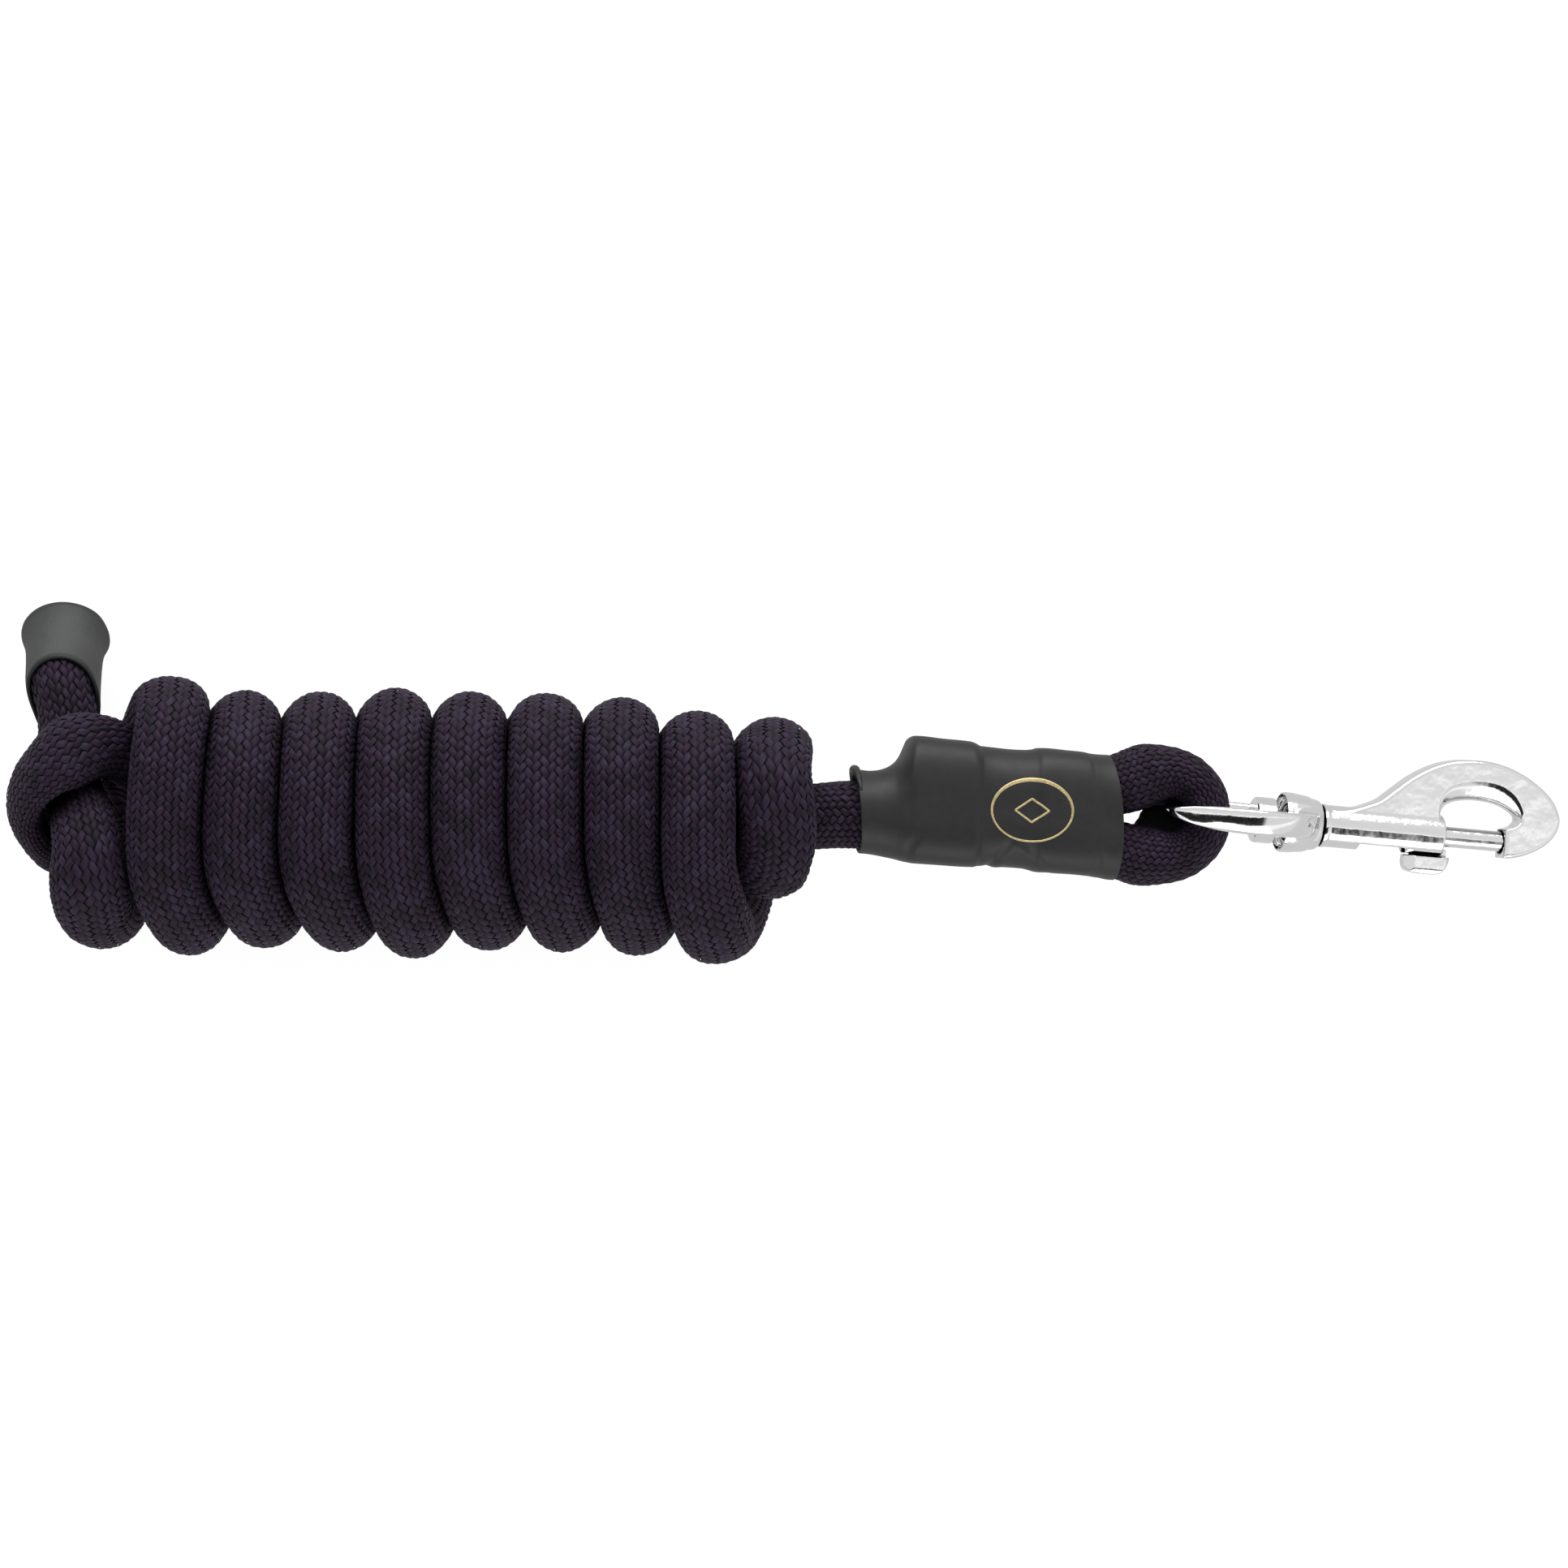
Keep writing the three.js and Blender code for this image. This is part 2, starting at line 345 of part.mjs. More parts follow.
// Each row: distance along the axis, level shift across, half width, half height.
const SLEEVE_STATIONS = [
  [0.0, 0.0, 11.5, 11.3],
  [3.2, 0.15, 12.1, 11.5],
  [6.4, 0.9, 13.3, 11.8],
  [9.6, 2.25, 15.0, 12.3],
  [11.9, 3.2, 16.5, 12.9],
  [13.4, 3.72, 17.3, 13.3],
  [31.4, 2.63, 17.4, 13.3],
  [33.6, 2.49, 16.6, 12.8],
  [46.0, 1.74, 16.6, 12.8],
  [48.6, 1.58, 17.4, 13.3],
  [63.0, 0.7, 17.4, 13.3],
  [71.4, 0.19, 17.3, 13.2],
];

// Hook plate outline, x and y in the snap frame: from the barrel over the back
// of the hook and round its nose to the gate face ...
const HOOK_BACK = [
  [30.5, 5.3], [34, 6.4], [38.5, 8.1], [42.7, 11.9], [47.4, 15.9], [53.4, 19.2], [59.3, 20.9],
  [64.3, 21.5], [70.3, 21.5], [77.0, 19.9], [83.8, 16.9], [88.7, 13.0], [91.1, 9.4],
  [91.6, 7.1], [90.7, 3.7], [87.5, 0.3], [81.7, -2.9], [77.7, -3.9], [HOOK_END, -3.9],
];
// ... and from the gate face round the throat, back into the barrel.
const HOOK_THROAT = [
  [HOOK_END, 3.9], [77.8, 4.5], [79.6, 5.2], [79.6, 8.3], [78.4, 9.4], [76.2, 10.3],
  [72.6, 11.1], [66.0, 11.1], [63.2, 10.8], [60.0, 9.6], [58.2, 7.6], [57.6, 4.5],
  [57.6, 0], [36, 0],
];
// Thumb pad outline, x and y in the snap frame
const PAD_OUTLINE = [
  [46.9, -6.25], [46.9, -7.9], [47.8, -9.9], [51.3, -10.8],
  [56.5, -10.8], [58.3, -9.8], [59.8, -6.9], [59.8, -6.25],
];

// ------------------------------------------------------------------- helpers
const wasm = await Module();
wasm.setup();

function toSolid(geometry) {
  geometry.deleteAttribute('normal');
  geometry.deleteAttribute('uv');
  const merged = mergeVertices(geometry, 1e-4);
  return new wasm.Manifold(new wasm.Mesh({
    numProp: 3,
    vertProperties: new Float32Array(merged.attributes.position.array),
    triVerts: new Uint32Array(merged.index.array),
  }));
}

function toGeometry(solid) {
  const mesh = solid.getMesh();
  const geometry = new THREE.BufferGeometry();
  const positions = new Float32Array(mesh.vertProperties);
  geometry.setAttribute('position', new THREE.BufferAttribute(positions, 3));
  geometry.setIndex(new THREE.BufferAttribute(new Uint32Array(mesh.triVerts), 1));
  geometry.computeVertexNormals();
  return geometry;
}

function addMesh(parent, name, solid, material) {
  const mesh = new THREE.Mesh(toGeometry(solid), material);
  mesh.name = name;
  parent.add(mesh);
  return mesh;
}

const toVectors = (pairs) => pairs.map(([x, y]) => new THREE.Vector2(x, y));

function box(size, centre) {
  return toSolid(new THREE.BoxGeometry(...size).translate(...centre));
}

// a cylinder along X
function rodX(start, end, radius, sides) {
  const geometry = new THREE.CylinderGeometry(radius, radius, end - start, sides, 1);
  geometry.rotateZ(-Math.PI / 2);
  geometry.translate((start + end) / 2, 0, 0);
  return toSolid(geometry);
}

// a turned shape about X from [x, radius] pairs; first and last points on the axis
function turnedX(profile, sides) {
  const points = profile.map(([x, radius]) => new THREE.Vector2(radius, x));
  return toSolid(new THREE.LatheGeometry(points, sides).rotateZ(-Math.PI / 2));
}

// a bevelled plate centred on z = 0; the bevel stays inside the outline
function bevelledPlate(outline, { depth, bevelThickness, bevelSize }) {
  const geometry = new THREE.ExtrudeGeometry(new THREE.Shape(toVectors(outline)), {
    depth,
    bevelEnabled: true,
    bevelThickness,
    bevelSize,
    bevelOffset: -bevelSize,
    bevelSegments: 1,
    curveSegments: 1,
  });
  return toSolid(geometry.translate(0, 0, -depth / 2));
}

// A path given ring by ring.  The normals and binormals are not unit vectors:
// their lengths scale the section at each ring.
class RingPath extends THREE.Curve {
  constructor({ points, tangents, normals, binormals }) {
    super();
    Object.assign(this, { points, tangents, normals, binormals });
  }

  getSpacedPoints() {
    return this.points;
  }

  computeFrenetFrames() {
    return { tangents: this.tangents, normals: this.normals, binormals: this.binormals };
  }

  // the same path with both ends moved outwards
  runOut(distance) {
    const points = this.points.map((point) => point.clone());
    points[0].addScaledVector(this.tangents[0], -distance);
    points.at(-1).addScaledVector(this.tangents.at(-1), distance);
    return new RingPath({ ...this, points });
  }
}

function sweep(path, outer, hole) {
  const shape = new THREE.Shape(outer);
  if (hole) shape.holes.push(new THREE.Path(hole));
  const steps = path.points.length - 1;
  return toSolid(new THREE.ExtrudeGeometry(shape, { steps, extrudePath: path, curveSegments: 1 }));
}

// section corners, with no corner on the section's x axis
function cornerAngles(sides) {
  return Array.from({ length: sides }, (_, i) => ((i + 0.5) / sides) * Math.PI * 2);
}

function polygon(sides, radius) {
  return cornerAngles(sides).map(
    (angle) => new THREE.Vector2(Math.cos(angle) * radius, Math.sin(angle) * radius),
  );
}

// rounded oblong: a superellipse of half size `scale` both ways
function oblong(scale) {
  const soften = (value) => Math.sign(value) * Math.abs(value) ** (2 / SECTION_POWER);
  return cornerAngles(SLEEVE_SIDES).map((angle) => new THREE.Vector2(
    soften(Math.cos(angle)) * scale,
    soften(Math.sin(angle)) * scale,
  ));
}

// ----------------------------------------------------------------- materials
const standard = (settings) => new THREE.MeshStandardMaterial(settings);
const yarn = () => standard({ color: 0x2e2636, roughness: 0.95, metalness: 0 });
const filler = () => standard({ color: 0xd8d4cc, roughness: 0.9, metalness: 0 });
const shrink = () => standard({ color: 0x333333, roughness: 0.7, metalness: 0 });
const rubber = () => standard({ color: 0x5a5a5a, roughness: 0.65, metalness: 0 });
const chrome = () => standard({ color: 0xd4d4d4, roughness: 0.12, metalness: 1 });
const zinc = () => standard({ color: 0x9a9c9e, roughness: 0.35, metalness: 1 });

// ---------------------------------------------------------------------- rope
// makes the vector a unit vector square to the tangent
function squareTo(tangent, vector) {
  return vector.addScaledVector(tangent, -vector.dot(tangent)).normalize();
}

// Frames are carried along the rope without twist, then each section is
// stretched to the station's half thickness and half width.
function ropePath() {
  const points = ROPE_STATIONS.map(([x, y, z]) => new THREE.Vector3(x, y, z));
  const last = points.length - 1;
  const tangents = points.map((_, i) => (
    points[Math.min(last, i + 1)].clone().sub(points[Math.max(0, i - 1)]).normalize()
  ));
  const normals = [];
  const binormals = [];
  const normal = squareTo(tangents[0], new THREE.Vector3(0, 0, 1));
  ROPE_STATIONS.forEach(([, , , halfThickness, halfWidth, ...thinDirection], i) => {
    const tangent = tangents[i];
    if (i > 0) {
      const turn = new THREE.Quaternion().setFromUnitVectors(tangents[i - 1], tangent);
      squareTo(tangent, normal.applyQuaternion(turn));
    }
    const binormal = new THREE.Vector3().crossVectors(tangent, normal);
    const thin = squareTo(tangent, new THREE.Vector3(...thinDirection));
    const wide = new THREE.Vector3().crossVectors(tangent, thin);
    const squeeze = (vector) => new THREE.Vector3()
      .addScaledVector(thin, vector.dot(thin) * halfThickness)
      .addScaledVector(wide, vector.dot(wide) * halfWidth);
    normals.push(squeeze(normal));
    binormals.push(squeeze(binormal));
  });
  return new RingPath({ points, tangents, normals, binormals });
}

function addRope(parent, path) {
  const bore = sweep(path.runOut(CUT_OVERRUN), polygon(CORE_SIDES, BORE_SCALE));
  // soft rope flattens where it lies on the ground
  const ground = box(GROUND_BLOCK, [0, 0, GROUND_CUT - GROUND_BLOCK[2] / 2]);
  const cover = sweep(path, polygon(COVER_SIDES, 1)).subtract(bore).subtract(ground);
  addMesh(parent, 'rope_cover', cover, yarn());
  addMesh(parent, 'rope_core', sweep(path, polygon(CORE_SIDES, CORE_SCALE)), filler());
}

// Rubber cup over the tail, built along X from its mouth and turned to the rope
function addTailCap(parent, path) {
  const end = path.points.at(-1);
  const direction = end.clone().sub(path.points.at(-2)).normalize();
  const boreRadius = ROPE_STATIONS.at(-1)[3] + CAP_WALL_GAP;
  const cap = turnedX([
    [CAP_BORE_DEPTH, 0], [CAP_BORE_DEPTH, boreRadius - 0.3], [0.4, boreRadius],
    [0.0, boreRadius + 0.35], [0.2, boreRadius + 1.25], [2.0, boreRadius + 1.1],
    [11.5, boreRadius + 1.35], [15.5, boreRadius + 2.1], [18.4, CAP_FLANGE_RADIUS],
    [19.6, CAP_FLANGE_RADIUS], [CAP_LENGTH, CAP_END_RADIUS], [CAP_LENGTH, 0],
  ], CAP_SIDES);
  const mesh = addMesh(parent, 'tail_cap', cap, rubber());
  mesh.quaternion.setFromUnitVectors(new THREE.Vector3(1, 0, 0), direction);
  mesh.position.copy(end).addScaledVector(direction, CAP_END_GAP - CAP_BORE_DEPTH);
}

// ------------------------------------------------------- sleeve and ferrules
// an oblong tube along the sleeve axis, from rows laid out as in SLEEVE_STATIONS
function sleeveTube(rows, boreScale) {
  const [start, end] = SLEEVE_AXIS.map((point) => new THREE.Vector3(...point));
  const tangent = end.sub(start).normalize();
  const across = new THREE.Vector3(0, 0, 1).cross(tangent).normalize();
  const up = new THREE.Vector3().crossVectors(tangent, across);
  const path = new RingPath({
    points: rows.map(([along, shift]) => (
      start.clone().addScaledVector(tangent, along).addScaledVector(across, shift)
    )),
    tangents: rows.map(() => tangent),
    normals: rows.map(([, , halfWidth]) => across.clone().multiplyScalar(halfWidth)),
    binormals: rows.map(([, , , halfHeight]) => up.clone().multiplyScalar(halfHeight)),
  });
  return sweep(path, oblong(1), oblong(boreScale));
}

// ferrules follow the sleeve's straight drift from the end of its taper
function ferrule(span) {
  const [taperEnd, taperShift] = SLEEVE_STATIONS[5];
  const [sleeveEnd, endShift] = SLEEVE_STATIONS.at(-1);
  const slope = (endShift - taperShift) / (sleeveEnd - taperEnd);
  const rows = span.map((along) => [
    along, taperShift + slope * (along - taperEnd), FERRULE_HALF_WIDTH, FERRULE_HALF_HEIGHT,
  ]);
  return sleeveTube(rows, FERRULE_BORE_SCALE);
}

function addSplice(parent) {
  addMesh(parent, 'splice_sleeve', sleeveTube(SLEEVE_STATIONS, SLEEVE_BORE_SCALE), shrink());
  addMesh(parent, 'crimp_ferrule_rear', ferrule(REAR_FERRULE_SPAN), zinc());
  addMesh(parent, 'crimp_ferrule_front', ferrule(FRONT_FERRULE_SPAN), zinc());
}

// ------------------------------------------------------------ swivel and snap
// Snap frame: origin at the ring centre, +X along the stem towards the hook,
// +Y towards the back of the hook, +Z square to the hook plate.

// ring about local Y with a collar bored for the stem
function addSwivelEye(parent) {
  const ring = toSolid(new THREE.LatheGeometry(toVectors([
    // radius, y
    [RING_INNER, -0.8], [RING_INNER + 0.7, -2.3], [RING_RADIUS - 0.4, -RING_HALF_HEIGHT],
    [RING_RADIUS + 1.2, -2.6], [RING_OUTER, -0.9], [RING_OUTER - 0.6, 1.5],
    [RING_RADIUS + 0.9, RING_HALF_HEIGHT], [RING_RADIUS - 1.0, RING_HALF_HEIGHT],
    [RING_INNER + 0.2, 1.3], [RING_INNER, -0.8],
  ]), RING_SEGMENTS));
  const collar = turnedX([
    [COLLAR_START, 0], [COLLAR_START, 6.6], [11.2, COLLAR_RADIUS], [17.6, COLLAR_RADIUS - 0.3],
    [19.4, 6.9], [22.3, 6.4], [COLLAR_END, 6.1], [COLLAR_END, 0],
  ], TURNED_SIDES);
  const bore = rodX(...STEM_BORE_SPAN, STEM_RADIUS + STEM_CLEARANCE, TURNED_SIDES);
  const mesh = addMesh(parent, 'swivel_eye', ring.add(collar).subtract(bore), chrome());
  mesh.rotation.x = RING_ROLL;
}

// rivet head, stem, barrel and hook plate in one casting
function addSnapBody(parent) {
  const plate = bevelledPlate([...HOOK_BACK, ...HOOK_THROAT].reverse(), {
    depth: 2 * (HOOK_HALF - HOOK_BEVEL),
    bevelThickness: HOOK_BEVEL,
    bevelSize: HOOK_BEVEL,
  });
  const spine = turnedX([
    [HEAD_START, 0], [HEAD_START, 4.6], [4.4, HEAD_RADIUS], [8.7, HEAD_RADIUS],
    [HEAD_END, 5.6], [HEAD_END, STEM_RADIUS], [BARREL_START, STEM_RADIUS],
    [BARREL_START, BARREL_END_RADIUS], [BARREL_START + 0.8, BARREL_RADIUS],
    [BARREL_END - 0.6, BARREL_RADIUS], [BARREL_END, BARREL_END_RADIUS], [BARREL_END, 0],
  ], TURNED_SIDES);
  const cutEnd = BARREL_END + CUT_OVERRUN;
  const bore = rodX(BORE_START, cutEnd, BORE_RADIUS, BORE_SIDES);
  const slot = box(
    [cutEnd - SLOT_START, SLOT_CUT_HEIGHT, SLOT_WIDTH],
    [(cutEnd + SLOT_START) / 2, SLOT_CUT_Y, 0],
  );
  const socket = rodX(
    HOOK_END - SOCKET_OVERRUN, HOOK_END + SOCKET_DEPTH, BORE_RADIUS, BORE_SIDES,
  );
  const body = plate.add(spine).subtract(bore).subtract(slot).subtract(socket);
  addMesh(parent, 'snap_body', body, chrome());
}

// plain pin with a pocket for the stud; the spring pushes on its tail
function addBolt(parent) {
  const pin = turnedX([
    [BOLT_TAIL, 0], [BOLT_TAIL, 2.4], [BOLT_TAIL + 0.5, BOLT_RADIUS],
    [BOLT_TIP - 0.6, BOLT_RADIUS], [BOLT_TIP, 2.3], [BOLT_TIP, 0],
  ], BORE_SIDES);
  const pocket = box(POCKET_SIZE, [STUD_X, POCKET_Y, 0]);
  addMesh(parent, 'bolt_plunger', pin.subtract(pocket), chrome());
}

// foot seated in the bolt and passing through the slot, pad outside
function addThumbStud(parent) {
  const foot = box(FOOT_SIZE, [STUD_X, FOOT_Y, 0]);
  const pad = bevelledPlate(PAD_OUTLINE, {
    depth: PAD_DEPTH,
    bevelThickness: PAD_BEVEL_THICKNESS,
    bevelSize: PAD_BEVEL_SIZE,
  });
  addMesh(parent, 'thumb_stud', foot.add(pad), chrome());
}

// return spring between the barrel's blind end and the bolt's tail
class SpringHelix extends THREE.Curve {
  getPoint(t, target = new THREE.Vector3()) {
    const start = BORE_START + SPRING_END_GAP;
    const end = BOLT_TAIL - SPRING_END_GAP;
    const angle = t * SPRING_COILS * Math.PI * 2;
    return target.set(
      start + (end - start) * t,
      Math.cos(angle) * SPRING_RADIUS,
      Math.sin(angle) * SPRING_RADIUS,
    );
  }
}

function addSpring(parent) {
  const wire = new THREE.Shape(polygon(SPRING_WIRE_SIDES, SPRING_WIRE_RADIUS));
  const spring = new THREE.ExtrudeGeometry(wire, {
    steps: SPRING_COILS * SPRING_STEPS_PER_COIL,
    extrudePath: new SpringHelix(),
    curveSegments: 1,
  });
  addMesh(parent, 'bolt_spring', toSolid(spring), zinc());
}

function addSnap(parent) {
  const snapFrame = new THREE.Group();
  snapFrame.position.set(...SNAP_CENTRE);
  snapFrame.rotation.set(0, SNAP_PITCH, SNAP_YAW, 'ZYX');
  parent.add(snapFrame);
  addSwivelEye(snapFrame);
  addSnapBody(snapFrame);
  addBolt(snapFrame);
  addThumbStud(snapFrame);
  addSpring(snapFrame);
}

// ------------------------------------------------------------------ assembly
const part = new THREE.Group();
const layout = new THREE.Group();
layout.position.set(...LAYOUT_SHIFT);
part.add(layout);

const path = ropePath();
addRope(layout, path);
addTailCap(layout, path);
addSplice(layout);
addSnap(layout);

export default part;
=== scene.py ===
# A braided lead rope, coiled and lying flat on a floor at z = 0, with its length along x.
# The snap hook is at the +x end and the capped tail at the -x end; the camera looks
# straight down.  Shapes are in millimetres in a layout whose origin lies under the camera;
# LAYOUT_SHIFT moves them to the frame of the product and MM turns them into metres.
import math

import bmesh
import bpy
import numpy as np
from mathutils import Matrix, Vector


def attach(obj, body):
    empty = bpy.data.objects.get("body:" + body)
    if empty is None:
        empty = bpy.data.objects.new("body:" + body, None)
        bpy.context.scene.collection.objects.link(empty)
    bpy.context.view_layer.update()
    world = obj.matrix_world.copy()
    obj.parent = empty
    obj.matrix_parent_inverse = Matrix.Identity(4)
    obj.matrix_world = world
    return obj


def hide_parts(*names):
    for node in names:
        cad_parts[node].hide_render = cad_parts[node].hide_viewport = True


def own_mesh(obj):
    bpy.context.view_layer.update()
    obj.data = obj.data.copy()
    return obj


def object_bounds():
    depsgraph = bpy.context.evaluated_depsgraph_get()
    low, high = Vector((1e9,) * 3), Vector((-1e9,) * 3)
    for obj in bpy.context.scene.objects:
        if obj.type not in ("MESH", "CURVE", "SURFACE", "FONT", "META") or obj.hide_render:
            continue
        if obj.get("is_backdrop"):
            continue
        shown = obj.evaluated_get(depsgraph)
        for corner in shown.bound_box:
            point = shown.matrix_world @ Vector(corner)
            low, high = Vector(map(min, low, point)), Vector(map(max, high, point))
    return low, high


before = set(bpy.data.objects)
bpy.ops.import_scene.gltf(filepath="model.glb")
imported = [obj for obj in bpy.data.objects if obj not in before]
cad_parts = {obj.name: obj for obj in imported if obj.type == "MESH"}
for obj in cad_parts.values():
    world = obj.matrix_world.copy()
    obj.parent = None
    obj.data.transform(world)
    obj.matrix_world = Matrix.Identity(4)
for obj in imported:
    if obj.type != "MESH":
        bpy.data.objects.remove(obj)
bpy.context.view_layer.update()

MM = 0.001
LAYOUT_SHIFT = np.array([-1.926, 2.134, -0.55])
CAMERA_HEIGHT = 1300.0
TURN = 2 * math.pi

